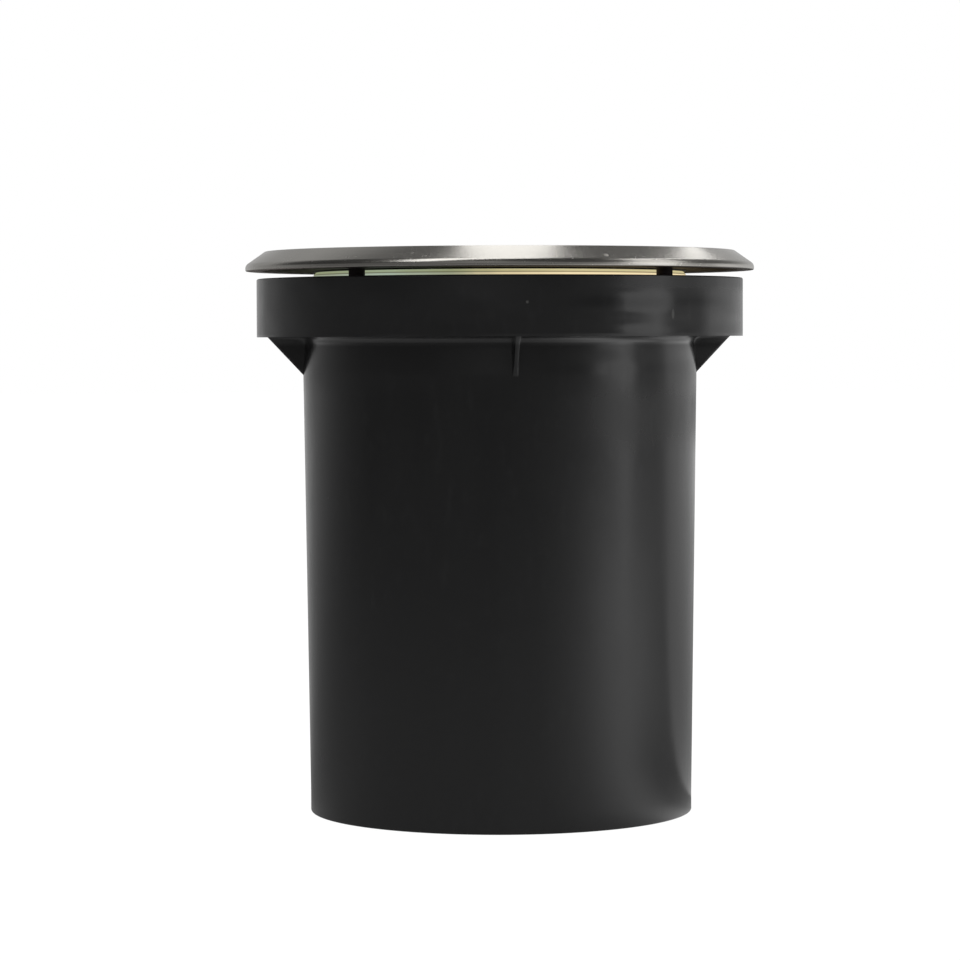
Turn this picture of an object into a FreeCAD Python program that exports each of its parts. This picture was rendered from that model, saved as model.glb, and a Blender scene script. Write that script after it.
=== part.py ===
import FreeCAD, Part
import math
import os

import Sketcher

# In-ground well light: a mains lamp in a cast cup that hangs in a plastic ground sleeve, under a
# steel bezel and a thick glass. Millimetres, +Z up, origin at the centre of the sleeve's foot.

# ---------------------------------------------------------------- driving dimensions

SIZES = {
    # lamp
    "lamp_radius": 25.0,
    "lamp_height": 46.7,            # from the underside of the cap to the rim
    "lamp_rim_height": 4.5,
    "lamp_shell": 1.2,
    "lamp_waist_radius": 13.0,      # outside of the shell where it meets the cap
    "lamp_waist_height": 15.0,
    "lamp_flare": 2.5,              # how far the shell widens from its shoulder to its rim
    "lamp_flare_height": 6.2,
    "cap_radius": 11.5,
    "cap_skirt": 10.0,              # height of the cap's straight part
    "pin_circle": 5.0,              # radius of the circle of the lamp's pins
    "pin_neck_radius": 1.5,
    "pin_head_radius": 2.45,
    "pin_length": 7.0,
    "pin_head_length": 3.2,
    "board_thickness": 1.6,
    "board_inset": 2.0,             # from the lens down to the face of the board
    "lens_thickness": 2.0,
    "lens_inset": 0.3,              # from the rim down to the face of the lens
    "lens_clearance": 0.05,
    "chip_width": 2.8,
    "chip_height": 0.7,
    "chip_circle": 9.0,
    "chip_count": 6,

    # ceramic lampholder
    "lamp_seat_gap": 0.3,           # between the lampholder and the lamp's cap
    "lamp_twist_range": 30.0,       # degrees from locked to free
    "holder_length": 27.0,
    "holder_depth": 17.0,
    "holder_height": 17.0,
    "holder_round": 2.0,
    "holder_lid": 2.0,              # thickness of the top that the pins hook under
    "pin_slot_clearance": 0.3,
    "contact_thickness": 0.5,
    "contact_clearance": 0.1,
    "holder_screw_x": 9.6,
    "holder_screw_edge": 2.0,       # from a screw's middle to the edge of the cradle
    "holder_screw_radius": 1.25,
    "holder_screw_head_radius": 2.2,
    "holder_screw_head_height": 1.6,

    # swinging cradle round the lamp, and the pivots that it turns on
    "cradle_side_room": 2.0,        # between the lamp's rim and an arm
    "cradle_thickness": 1.2,
    "cradle_width": 14.0,
    "cradle_drop": 41.2,            # from the pivots down to the cradle's underside
    "rivet_radius": 2.0,
    "rivet_fit": 0.06,
    "rivet_head_radius": 3.6,
    "rivet_head_height": 1.0,
    "washer_radius": 4.6,
    "washer_thickness": 1.5,
    "washer_play": 0.1,             # between a pivot washer and the cradle

    # fixed bracket that the cradle swings in
    "bracket_width": 14.0,
    "bracket_thickness": 1.2,
    "bend_radius": 1.0,             # inside of the bends of bracket and cradle
    "arm_end_flat": 0.1,            # half of the flat left between an arm end's two rounds
    "bracket_floor_room": 5.8,      # from the cup's floor up to the cradle's underside
    "bracket_screw_offset": 15.0,
    "small_screw_radius": 1.5,
    "small_screw_head_radius": 2.75,
    "small_screw_head_height": 2.0,
    "small_screw_bite": 2.8,        # depth of a small screw in the cup's floor

    # two cable glands in the floor of the cup, sized from the cable
    "cable_radius": 4.25,           # bore of the rubber grip, for an 8.5 mm cable
    "grip_wall": 1.9,
    "grip_length": 8.0,
    "grip_drop": 2.0,               # how far the grip hangs out of the gland's neck
    "grip_clearance": 0.05,
    "gland_throat_clearance": 0.95, # round the cable, above the grip
    "gland_neck_wall": 1.4,
    "gland_neck_height": 6.0,
    "gland_thread_step": 0.3,       # from the neck out to the upper thread
    "gland_thread_above": 6.0,      # thread that stands above the cup's floor
    "gland_hex_step": 1.6,          # from the upper thread out to the hexagon's flats
    "gland_hex_height": 4.5,
    "gland_nut_height": 4.0,
    "gland_washer_step": 0.1,       # from the hexagon's flats out to the washer's edge
    "gland_washer_thickness": 1.0,
    "gland_dome_height": 13.0,
    "gland_dome_skirt": 8.0,        # height of the dome nut's hexagon
    "gland_dome_clearance": 0.1,    # round the gland's neck
    "gland_dome_gap": 0.8,          # between the dome nut and the gland's hexagon
    "gland_dome_lip": 1.4,          # thickness of the dome nut at its mouth
    "gland_mouth_clearance": 0.65,  # round the cable, where it enters the dome nut
    "gland_nose_wall": 1.5,         # width of the dome nut's lower end
    "gland_nose_round": 1.0,
    "gland_gap": 3.0,               # between the corners of the two glands
    "gland_bracket_gap": 1.0,       # between the glands' flats and the bracket
    "gland_foot_room": 6.7,         # from the sleeve's foot up to the dome nuts

    # terminal block and earth point
    "terminal_pitch": 8.0,
    "terminal_count": 3,
    "terminal_depth": 9.5,
    "terminal_height": 13.0,
    "terminal_pillar_half": 2.4,    # half of a brass pillar's width
    "terminal_pillar_height": 7.5,
    "terminal_pillar_inset": 1.0,   # from the block's face to the pillar's end
    "terminal_clearance": 0.05,
    "terminal_tunnel_radius": 1.5,
    "terminal_screw_radius": 1.25,
    "terminal_screw_height": 5.0,
    "terminal_well_radius": 2.0,
    "terminal_floor": 1.8,
    "fixing_screw_radius": 1.1,
    "fixing_head_radius": 1.7,
    "fixing_head_height": 1.2,
    "earth_screw_turn": 145.0,      # degrees from the bracket's right arm to the earth screw
    "earth_wall_room": 1.5,         # between the earth washer and the cup's inner round
    "earth_washer_radius": 4.5,
    "earth_washer_thickness": 1.0,
    "earth_screw_radius": 2.0,
    "earth_head_radius": 3.6,
    "earth_head_height": 2.4,

    # cast lamp housing: a cup under a flange that hangs on the sleeve's ledge
    "cup_side_room": 3.1,           # between the bracket's arms and the cup's foot
    "cup_corner_room": 0.1,         # between the pieces on the floor and the inner round
    "cup_wall": 2.5,
    "cup_floor": 4.0,
    "cup_draft": 1.4,               # how much wider the cup is at its mouth
    "cup_outer_round": 2.5,
    "cup_inner_round": 1.5,
    "flange_thickness": 3.2,
    "flange_margin": 2.1,           # flange left outside a screw post
    "seat_depth": 0.8,              # recess that the glass gasket lies in
    "seat_clearance": 0.4,          # radial room round the glass and its gasket
    "post_radius": 2.8,             # posts on the flange that take the bezel screws
    "post_room": 2.2,               # between the glass and a post
    "post_gap": 2.0,                # between a post and the bezel
    "screw_count": 4,
    "screw_turn": 45.0,             # degrees from a gusset to the first bezel screw

    # glass and its two seals
    "glass_bearing": 4.8,           # width of glass that rests on the gasket
    "glass_thickness": 8.0,
    "glass_arris": 0.6,
    "glass_height": 7.7,            # from the lamp's rim up to the glass
    "gasket_thickness": 1.5,
    "top_seal_thickness": 0.3,
    "top_seal_width": 4.0,

    # bezel and its screws
    "bezel_thickness": 4.2,
    "bezel_bevel": 4.2,             # width of the bevel outside the flat top
    "bezel_lip": 1.25,              # height of the upright lip under the bevel
    "bezel_lip_round": 0.25,        # on the lip's lower edge
    "bezel_nose_round": 1.3,        # between lip and bevel
    "window_overlap": 0.5,          # how far the bezel reaches in over the cup's mouth
    "window_chamfer": 1.0,
    "bezel_screw_radius": 1.7,
    "bezel_screw_head_radius": 3.2,
    "bezel_screw_head_rim": 0.25,   # upright edge above the countersunk cone
    "bezel_screw_head_margin": 2.3, # flat top left outside a screw's head
    "bezel_screw_length": 13.2,
    "bezel_screw_socket": 1.25,     # half of the hexagon's width across flats
    "bezel_screw_socket_depth": 1.2,
    "bezel_screw_tip": 0.5,         # chamfer at the screw's end
    "screw_hole_spare": 0.8,        # depth of a tapped hole past the screw's end
    "screw_fit": 0.06,              # radial room of a screw in its own thread
    "through_fit": 0.2,             # radial room of a screw in a plain hole
    "cut_spare": 1.0,               # how far a turned cut runs out past a face

    # ground sleeve, a black moulding that stays in the ground
    "sleeve_wall": 2.0,
    "cup_clearance": 2.1,           # radial room between the cup and the sleeve's neck
    "neck_inset": 0.5,              # from the widest part of the tube in to its neck
    "neck_band": 0.2,               # straight band under the collar's fillet
    "tube_draft": 1.2,              # from the widest part of the tube in to its foot
    "foot_band": 4.0,               # straight band above the lower rim
    "ledge_thickness": 2.0,         # ring-shaped floor of the collar
    "flange_clearance": 0.4,        # radial room between flange and collar
    "collar_gap": 1.7,              # between the collar's rim and the bezel
    "collar_fillet": 1.4,           # hollow fillet between tube and collar
    "collar_rim_round": 0.3,
    "gusset_drop": 8.2,             # from the collar's underside to where a gusset ends
    "gusset_inset": 2.3,            # from the collar's edge in to a gusset's end
    "gusset_thickness": 1.1,
    "gusset_count": 4,
}

DOC = FreeCAD.newDocument("InGroundWellLight")
SHEET = DOC.addObject("Spreadsheet::Sheet", "Sizes")


class Size:
    """A length written as an expression on the sheet, together with what it comes to."""

    def __init__(self, text, value):
        self.text = text
        self.value = value

    def __add__(self, other):
        other = as_size(other)
        return Size(f"({self.text} + {other.text})", self.value + other.value)

    def __sub__(self, other):
        other = as_size(other)
        return Size(f"({self.text} - {other.text})", self.value - other.value)

    def __mul__(self, factor):
        factor = as_size(factor)
        return Size(f"({self.text} * {factor.text})", self.value * factor.value)

    def __truediv__(self, divisor):
        return Size(f"({self.text} / {divisor})", self.value / divisor)

    def __neg__(self):
        return Size(f"(-{self.text})", -self.value)


def diagonal(x, y):
    """The length of a diagonal from its reach along X and along Y."""
    text = f"sqrt({x.text} ^ 2 + {y.text} ^ 2)"
    return Size(text, math.hypot(x.value, y.value))


def other_side(longest, side):
    """The third side of a right-angled triangle, from its longest side and another."""
    text = f"sqrt({longest.text} ^ 2 - {side.text} ^ 2)"
    return Size(text, math.sqrt(longest.value ** 2 - side.value ** 2))


def larger(one, other):
    """The larger of two sizes."""
    return Size(f"max({one.text}; {other.text})", max(one.value, other.value))


def as_size(number):
    """Take a Size as it is, and wrap a plain number in one."""
    if isinstance(number, Size):
        return number
    return Size(str(float(number)), float(number))


class Lengths:
    """The rows of the sheet, read as attributes: d.cup_wall is the sheet's cup_wall."""

    def __getattr__(self, name):
        return Size("Sizes." + name, SIZES[name])


def fill_sheet():
    """Write every driving dimension to the sheet and give its cell the same name."""
    for row, (name, value) in enumerate(SIZES.items(), start=1):
        SHEET.set(f"A{row}", name)
        SHEET.set(f"B{row}", str(value))
        SHEET.setAlias(f"B{row}", name)
    DOC.recompute()


fill_sheet()
d = Lengths()
ZERO = as_size(0)
PAIR = 2            # two copies of a piece, on opposite sides of the axis
TOLERANCE = 1e-4

# ---------------------------------------------------------------- heights, from the foot up

dome_bottom = d.gland_foot_room
dome_top = dome_bottom + d.gland_dome_height
gland_hex_bottom = dome_top + d.gland_dome_gap
gland_hex_top = gland_hex_bottom + d.gland_hex_height
cup_bottom = gland_hex_top + d.gland_washer_thickness
cup_floor_top = cup_bottom + d.cup_floor
cradle_bottom = cup_floor_top + d.bracket_floor_room
pivot_height = cradle_bottom + d.cradle_drop
cradle_floor = cradle_bottom + d.cradle_thickness
holder_top = cradle_floor + d.holder_height
lamp_base = holder_top + d.lamp_seat_gap
lamp_top = lamp_base + d.lamp_height
glass_bottom = lamp_top + d.glass_height
glass_top = glass_bottom + d.glass_thickness
bezel_bottom = glass_top + d.top_seal_thickness
bezel_top = bezel_bottom + d.bezel_thickness
post_top = bezel_bottom - d.post_gap
seat_level = glass_bottom - d.gasket_thickness
flange_top = seat_level + d.seat_depth
ledge_top = flange_top - d.flange_thickness
collar_bottom = ledge_top - d.ledge_thickness
collar_top = bezel_bottom - d.collar_gap

# ---------------------------------------------------------------- radii, from the lamp out

cradle_inner_half = d.lamp_radius + d.cradle_side_room
cradle_half_span = cradle_inner_half + d.cradle_thickness
bracket_inner_half = cradle_half_span + d.washer_play + d.washer_thickness
bracket_half_span = bracket_inner_half + d.bracket_thickness
gland_bore = d.cable_radius + d.grip_wall + d.grip_clearance
gland_neck = gland_bore + d.gland_neck_wall
gland_thread = gland_neck + d.gland_thread_step
gland_flats = gland_thread + d.gland_hex_step
gland_tip = gland_flats / math.cos(math.radians(30))
gland_x = gland_tip + d.gland_gap / 2
gland_y = d.bracket_width / 2 + d.gland_bracket_gap + gland_flats
gland_corner = diagonal(gland_x + gland_tip / 2, gland_y + gland_flats)
cup_inner_foot = larger(bracket_half_span + d.cup_side_room,
                        gland_corner + d.cup_corner_room + d.cup_inner_round)
cup_inner_mouth = cup_inner_foot + d.cup_draft
cup_floor_radius = cup_inner_foot - d.cup_inner_round
glass_radius = cup_inner_mouth + d.glass_bearing
screw_circle = glass_radius + d.post_room + d.post_radius
flange_radius = screw_circle + d.post_radius + d.flange_margin
collar_inner = flange_radius + d.flange_clearance
collar_radius = collar_inner + d.sleeve_wall
neck_radius = cup_inner_mouth + d.cup_wall + d.cup_clearance + d.sleeve_wall
tube_radius = neck_radius + d.neck_inset
foot_radius = tube_radius - d.tube_draft

# ---------------------------------------------------------------- small builders


def new_body(label):
    """Start a body that one solid, or one group of like solids, is made in."""
    body = DOC.addObject("PartDesign::Body", label)
    body.Label = label
    body.AllowCompound = True
    return body


def origin_part(body, role):
    """Return one of the planes or axes of the body's own origin."""
    for feature in body.Origin.OriginFeatures:
        if feature.Role == role:
            return feature
    raise ValueError("no origin feature " + role)


def hold(sketch, geometry, point, x, y):
    """Tie one point of a sketch to the sketch's origin, x across and y up."""
    for kind, axis, size in (("DistanceX", -2, x), ("DistanceY", -1, y)):
        if abs(size.value) < TOLERANCE:
            sketch.addConstraint(Sketcher.Constraint("PointOnObject", geometry, point, axis))
        elif size.value > 0:
            link = Sketcher.Constraint(kind, -1, 1, geometry, point, size.value)
            bind(sketch, sketch.addConstraint(link), size)
        else:
            link = Sketcher.Constraint(kind, geometry, point, -1, 1, -size.value)
            bind(sketch, sketch.addConstraint(link), -size)


def bind(sketch, constraint, size):
    """Make one constraint of a sketch follow the sheet."""
    sketch.setExpression(f"Constraints[{constraint}]", size.text)


def new_sketch(body, name, plane, shift):
    """Lay a sketch on one of the body's origin planes, shifted in the sketch's own axes."""
    sketch = body.newObject("Sketcher::SketchObject", name)
    sketch.AttachmentSupport = [(origin_part(body, plane), "")]
    sketch.MapMode = "FlatFace"
    for axis, size in zip("xyz", shift):
        size = as_size(size)
        if abs(size.value) > TOLERANCE:
            sketch.setExpression(f"AttachmentOffset.Base.{axis}", size.text)
    return sketch


def draw_outline(sketch, corners):
    """Close a polyline through corners, each an (x, y) pair of sizes, and hold every corner."""
    first = len(sketch.Geometry)
    corners = [(as_size(x), as_size(y)) for x, y in corners]
    spots = [FreeCAD.Vector(x.value, y.value, 0) for x, y in corners]
    for start, end in zip(spots, spots[1:] + spots[:1]):
        sketch.addGeometry(Part.LineSegment(start, end), False)
    for index, (x, y) in enumerate(corners):
        following = first + (index + 1) % len(corners)
        joined = Sketcher.Constraint("Coincident", first + index, 2, following, 1)
        sketch.addConstraint(joined)
        hold(sketch, first + index, 1, x, y)


def draw_circle(sketch, x, y, radius):
    """Draw a circle with its centre held to the sketch's origin."""
    x, y = as_size(x), as_size(y)
    centre = FreeCAD.Vector(x.value, y.value, 0)
    up = FreeCAD.Vector(0, 0, 1)
    index = sketch.addGeometry(Part.Circle(centre, up, radius.value), False)
    hold(sketch, index, 3, x, y)
    size = sketch.addConstraint(Sketcher.Constraint("Radius", index, radius.value))
    bind(sketch, size, radius)


def hexagon(flats):
    """Corners of a hexagon with two sides along X, from half its width across flats."""
    tip = flats / math.cos(math.radians(30))
    return [(tip, ZERO), (tip / 2, flats), (-tip / 2, flats),
            (-tip, ZERO), (-tip / 2, -flats), (tip / 2, -flats)]


def rectangle(x0, y0, x1, y1):
    """Corners of a rectangle from two opposite ones."""
    return [(x0, y0), (x1, y0), (x1, y1), (x0, y1)]


def polar(radius, angle):
    """A point at a radius and an angle in degrees, as x and y sizes."""
    turned = math.radians(angle.value)
    x = Size(f"({radius.text} * cos({angle.text}))", radius.value * math.cos(turned))
    y = Size(f"({radius.text} * sin({angle.text}))", radius.value * math.sin(turned))
    return x, y


def upright_at(x, y):
    """Shift of a sketch on the XZ plane that brings its upright axis to (x, y)."""
    return x, ZERO, -y


def turn(body, name, corners, kind="Revolution", shift=(0, 0, 0), angle=None, axis="V_Axis"):
    """Turn an outline round an axis of its sketch: (radius, height) pairs round V_Axis."""
    sketch = new_sketch(body, name + "Outline", "XZ_Plane", shift)
    draw_outline(sketch, corners)
    feature = body.newObject("PartDesign::" + kind, name)
    feature.Profile = sketch
    feature.ReferenceAxis = (sketch, [axis])
    feature.Angle = 360
    if angle is not None:
        feature.setExpression("Angle", angle.text)
    DOC.recompute()
    return feature


def lathe(label, corners, shift=(0, 0, 0)):
    """Make a body that is one turned outline."""
    body = new_body(label)
    turn(body, label + "_turned", corners, shift=shift)
    return body


def extrude(body, name, plane, level, outlines, length, circles=(), cut=False,
            both_ways=False, through=False):
    """Pad or pocket closed outlines and circles that lie on a plane at the given level."""
    sketch = new_sketch(body, name + "Outline", plane, (0, 0, level))
    for corners in outlines:
        draw_outline(sketch, corners)
    for x, y, radius in circles:
        draw_circle(sketch, x, y, radius)
    kind = "PartDesign::Pocket" if cut else "PartDesign::Pad"
    feature = body.newObject(kind, name)
    feature.Profile = sketch
    feature.SideType = "Symmetric" if both_ways else "One side"
    if through:
        feature.Type = "ThroughAll"
    else:
        feature.setExpression("Length", length.text)
    DOC.recompute()
    return feature


def repeat_round(body, name, originals, count):
    """Repeat features evenly round the body's upright axis."""
    pattern = body.newObject("PartDesign::PolarPattern", name)
    pattern.Originals = originals
    pattern.Axis = (origin_part(body, "Z_Axis"), [""])
    pattern.Angle = 360
    pattern.Occurrences = int(as_size(count).value)
    if isinstance(count, Size):
        pattern.setExpression("Occurrences", count.text)
    body.Tip = pattern
    DOC.recompute()
    return pattern


def rim_edges(shape, rims):
    """Names of the circular edges about +Z that have one of the (radius, height) pairs."""
    names = []
    for radius, height in rims:
        found = []
        for index, edge in enumerate(shape.Edges, start=1):
            curve = edge.Curve
            if not isinstance(curve, Part.Circle):
                continue
            near = abs(curve.Radius - radius.value) < TOLERANCE
            if near and abs(curve.Center.z - height.value) < TOLERANCE:
                found.append(f"Edge{index}")
        if not found:
            raise ValueError(f"no rim of radius {radius.value} at {height.value}")
        names += found
    return names


def edges_along(shape, direction, height=None):
    """Names of the straight edges along a direction, all of them or those at one height."""
    names = []
    for index, edge in enumerate(shape.Edges, start=1):
        if not isinstance(edge.Curve, Part.Line):
            continue
        along = abs(edge.Curve.Direction.dot(direction)) > 1 - TOLERANCE
        if along and (height is None or abs(edge.CenterOfMass.z - height.value) < TOLERANCE):
            names.append(f"Edge{index}")
    if not names:
        raise ValueError("no straight edge runs that way")
    return names


def soften(body, name, edges, size, kind="Fillet"):
    """Round or chamfer named edges of the body's last feature."""
    base = body.Tip
    feature = body.newObject("PartDesign::" + kind, name)
    feature.Base = (base, edges)
    feature.setExpression("Radius" if kind == "Fillet" else "Size", size.text)
    DOC.recompute()
    return feature


def round_rims(body, name, rims, size, kind="Fillet"):
    """Round or chamfer circular edges, each given by its radius and height."""
    return soften(body, name, rim_edges(body.Tip.Shape, rims), size, kind)


def place(body, x=ZERO, y=ZERO):
    """Move a body across the floor of the cup."""
    body.setExpression("Placement.Base.x", x.text)
    body.setExpression("Placement.Base.y", y.text)
    DOC.recompute()


# ---------------------------------------------------------------- ground sleeve


def ground_sleeve():
    """A drafted tube that widens into a collar with a ledge, held by thin gussets."""
    body = new_body("ground_sleeve")
    neck_level = collar_bottom - d.collar_fillet - d.neck_band
    gusset_foot = collar_bottom - d.gusset_drop
    turn(body, "SleeveShell", [
        (foot_radius, ZERO),
        (foot_radius, d.foot_band),
        (tube_radius, gusset_foot),
        (neck_radius, neck_level),
        (neck_radius, collar_bottom),
        (collar_radius, collar_bottom),
        (collar_radius, collar_top),
        (collar_inner, collar_top),
        (collar_inner, ledge_top),
        (neck_radius - d.sleeve_wall, ledge_top),
        (neck_radius - d.sleeve_wall, neck_level),
        (tube_radius - d.sleeve_wall, gusset_foot),
        (foot_radius - d.sleeve_wall, d.foot_band),
        (foot_radius - d.sleeve_wall, ZERO)])
    round_rims(body, "CollarFillet", [(neck_radius, collar_bottom)], d.collar_fillet)
    rims = [(collar_radius, collar_top), (collar_radius, collar_bottom), (foot_radius, ZERO)]
    round_rims(body, "RimRounds", rims, d.collar_rim_round)
    gusset_root = tube_radius - d.sleeve_wall / 2
    gusset_head = collar_bottom + d.ledge_thickness / 2
    gusset_reach = collar_radius - d.gusset_inset
    gusset = extrude(body, "Gusset", "XZ_Plane", 0, [[
        (gusset_root, gusset_head),
        (gusset_reach, gusset_head),
        (gusset_reach, collar_bottom),
        (tube_radius, gusset_foot),
        (gusset_root, gusset_foot)]], d.gusset_thickness, both_ways=True)
    repeat_round(body, "Gussets", [gusset], d.gusset_count)
    return body


# ---------------------------------------------------------------- lamp housing

bezel_screw_end = bezel_top - d.bezel_screw_length
gland_places = [(-gland_x, -gland_y), (gland_x, -gland_y)]
bracket_screw_places = [(-d.bracket_screw_offset, ZERO), (d.bracket_screw_offset, ZERO)]
terminal_half = d.terminal_pitch * (SIZES["terminal_count"] / 2)
terminal_y = (other_side(cup_floor_radius - d.cup_corner_room, terminal_half)
              - d.terminal_depth / 2)
fixing_places = [(-d.terminal_pitch / 2, terminal_y), (d.terminal_pitch / 2, terminal_y)]
earth_place = polar(cup_floor_radius - d.earth_wall_room - d.earth_washer_radius,
                    d.earth_screw_turn)


def lamp_housing():
    """A drafted cup under a flat flange, with a gasket seat, screw posts and cable holes."""
    body = new_body("lamp_housing")
    cup_foot = cup_inner_foot + d.cup_wall
    seat_radius = glass_radius + d.seat_clearance
    turn(body, "Cup", [
        (ZERO, cup_bottom),
        (cup_foot, cup_bottom),
        (cup_inner_mouth + d.cup_wall, ledge_top),
        (flange_radius, ledge_top),
        (flange_radius, flange_top),
        (seat_radius, flange_top),
        (seat_radius, seat_level),
        (cup_inner_mouth, seat_level),
        (cup_inner_foot, cup_floor_top),
        (ZERO, cup_floor_top)])
    round_rims(body, "CupOuterRound", [(cup_foot, cup_bottom)], d.cup_outer_round)
    round_rims(body, "CupInnerRound", [(cup_inner_foot, cup_floor_top)], d.cup_inner_round)
    screw_x, screw_y = polar(screw_circle, d.screw_turn)
    post = extrude(body, "ScrewPost", "XY_Plane", seat_level, [], post_top - seat_level,
                   circles=[(screw_x, screw_y, d.post_radius)])
    thread = extrude(body, "PostThread", "XY_Plane", post_top, [],
                     post_top - bezel_screw_end + d.screw_hole_spare,
                     circles=[(screw_x, screw_y, d.bezel_screw_radius + d.screw_fit)], cut=True)
    repeat_round(body, "ScrewPosts", [post, thread], d.screw_count)
    gland_hole = gland_thread + d.through_fit
    extrude(body, "GlandHoles", "XY_Plane", cup_floor_top, [], None, cut=True, through=True,
            circles=[(x, y, gland_hole) for x, y in gland_places])
    taps = [(x, y, d.small_screw_radius + d.screw_fit) for x, y in bracket_screw_places]
    taps += [(x, y, d.fixing_screw_radius + d.screw_fit) for x, y in fixing_places]
    taps += [(*earth_place, d.earth_screw_radius + d.screw_fit)]
    extrude(body, "FloorTaps", "XY_Plane", cup_floor_top, [],
            d.small_screw_bite + d.screw_fit, circles=taps, cut=True)
    return body


# ---------------------------------------------------------------- glass, seals and bezel


def glass_gasket():
    """Flat silicone ring between the housing's seat and the glass."""
    return lathe("glass_gasket", rectangle(
        cup_inner_mouth, seat_level, glass_radius, glass_bottom))


def glass_lens():
    """Thick round pane with both edges ground off."""
    body = lathe("glass_lens", rectangle(ZERO, glass_bottom, glass_radius, glass_top))
    round_rims(body, "Arrises",
               [(glass_radius, glass_bottom), (glass_radius, glass_top)],
               d.glass_arris, "Chamfer")
    return body


def bezel_seal():
    """Thin ring between the glass and the underside of the bezel."""
    return lathe("bezel_seal", rectangle(
        glass_radius - d.top_seal_width, glass_top, glass_radius, bezel_bottom))


def bezel_ring():
    """Bevelled ring with an upright lip, a round window and countersunk screw holes."""
    body = new_body("bezel_ring")
    lip_top = bezel_bottom + d.bezel_lip
    window_radius = cup_inner_mouth - d.window_overlap
    flat_radius = screw_circle + d.bezel_screw_head_radius + d.bezel_screw_head_margin
    bezel_radius = flat_radius + d.bezel_bevel
    turn(body, "Ring", [
        (window_radius, bezel_bottom),
        (bezel_radius, bezel_bottom),
        (bezel_radius, lip_top),
        (flat_radius, bezel_top),
        (window_radius, bezel_top)])
    round_rims(body, "LipRound", [(bezel_radius, bezel_bottom)], d.bezel_lip_round)
    round_rims(body, "NoseRound", [(bezel_radius, lip_top)], d.bezel_nose_round)
    round_rims(body, "WindowChamfer", [(window_radius, bezel_top)],
               d.window_chamfer, "Chamfer")
    hole = d.bezel_screw_radius + d.screw_fit
    sink = d.bezel_screw_head_radius + d.screw_fit
    sink_top = bezel_top - d.bezel_screw_head_rim
    sink_bottom = sink_top - (d.bezel_screw_head_radius - d.bezel_screw_radius)
    countersink = turn(body, "Countersink", [
        (ZERO, bezel_bottom - d.cut_spare),
        (hole, bezel_bottom - d.cut_spare),
        (hole, sink_bottom),
        (sink, sink_top),
        (sink, bezel_top + d.cut_spare),
        (ZERO, bezel_top + d.cut_spare)],
        kind="Groove", shift=upright_at(*polar(screw_circle, d.screw_turn)))
    repeat_round(body, "Countersinks", [countersink], d.screw_count)
    return body


def bezel_screws():
    """Countersunk screws with a hexagon socket, one in each post."""
    body = new_body("bezel_screws")
    cone_top = bezel_top - d.bezel_screw_head_rim
    cone_bottom = cone_top - (d.bezel_screw_head_radius - d.bezel_screw_radius)
    screw_x, screw_y = polar(screw_circle, d.screw_turn)
    screw = turn(body, "Screw", [
        (ZERO, bezel_screw_end),
        (d.bezel_screw_radius - d.bezel_screw_tip, bezel_screw_end),
        (d.bezel_screw_radius, bezel_screw_end + d.bezel_screw_tip),
        (d.bezel_screw_radius, cone_bottom),
        (d.bezel_screw_head_radius, cone_top),
        (d.bezel_screw_head_radius, bezel_top),
        (ZERO, bezel_top)], shift=upright_at(screw_x, screw_y))
    corners = [(x + screw_x, y + screw_y) for x, y in hexagon(d.bezel_screw_socket)]
    socket = extrude(body, "Socket", "XY_Plane", bezel_top, [corners],
                     d.bezel_screw_socket_depth, cut=True)
    repeat_round(body, "Screws", [screw, socket], d.screw_count)
    return body


# ---------------------------------------------------------------- cable glands

gland_neck_bottom = gland_hex_bottom - d.gland_neck_height
grip_bottom = gland_neck_bottom - d.grip_drop
grip_top = grip_bottom + d.grip_length


def gland_body(label):
    """Threaded tube with a hexagon, a pocket for the grip below and a throat above."""
    body = new_body(label)
    throat = d.cable_radius + d.gland_throat_clearance
    turn(body, "Tube", [
        (gland_bore, gland_neck_bottom),
        (gland_neck, gland_neck_bottom),
        (gland_neck, gland_hex_top),
        (gland_thread, gland_hex_top),
        (gland_thread, cup_floor_top + d.gland_thread_above),
        (throat, cup_floor_top + d.gland_thread_above),
        (throat, grip_top),
        (gland_bore, grip_top)])
    bore = (ZERO, ZERO, gland_bore)
    extrude(body, "Hexagon", "XY_Plane", gland_hex_bottom, [hexagon(gland_flats)],
            d.gland_hex_height, circles=[bore])
    return body


def gland_washer(label):
    """Flat sealing ring between the gland's hexagon and the cup."""
    return lathe(label, rectangle(
        gland_thread + d.through_fit, gland_hex_top,
        gland_flats + d.gland_washer_step, cup_bottom))


def gland_grip(label):
    """Rubber sleeve that closes on the cable."""
    return lathe(label, rectangle(
        d.cable_radius, grip_bottom, gland_bore - d.grip_clearance, grip_top))


def gland_dome(label):
    """Domed nut that squeezes the grip: a hexagon skirt and a tapered nose."""
    body = new_body(label)
    neck_hole = gland_neck + d.gland_dome_clearance
    mouth = d.cable_radius + d.gland_mouth_clearance
    nose = mouth + d.gland_nose_wall
    skirt_bottom = dome_top - d.gland_dome_skirt
    turn(body, "Dome", [
        (mouth, dome_bottom),
        (nose, dome_bottom),
        (gland_flats, skirt_bottom),
        (gland_flats, dome_top),
        (neck_hole, dome_top),
        (neck_hole, grip_bottom - d.grip_clearance),
        (mouth, dome_bottom + d.gland_dome_lip)])
    round_rims(body, "NoseRound", [(nose, dome_bottom)], d.gland_nose_round)
    bore = (ZERO, ZERO, neck_hole)
    extrude(body, "Skirt", "XY_Plane", skirt_bottom, [hexagon(gland_flats)],
            d.gland_dome_skirt, circles=[bore])
    return body


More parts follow.
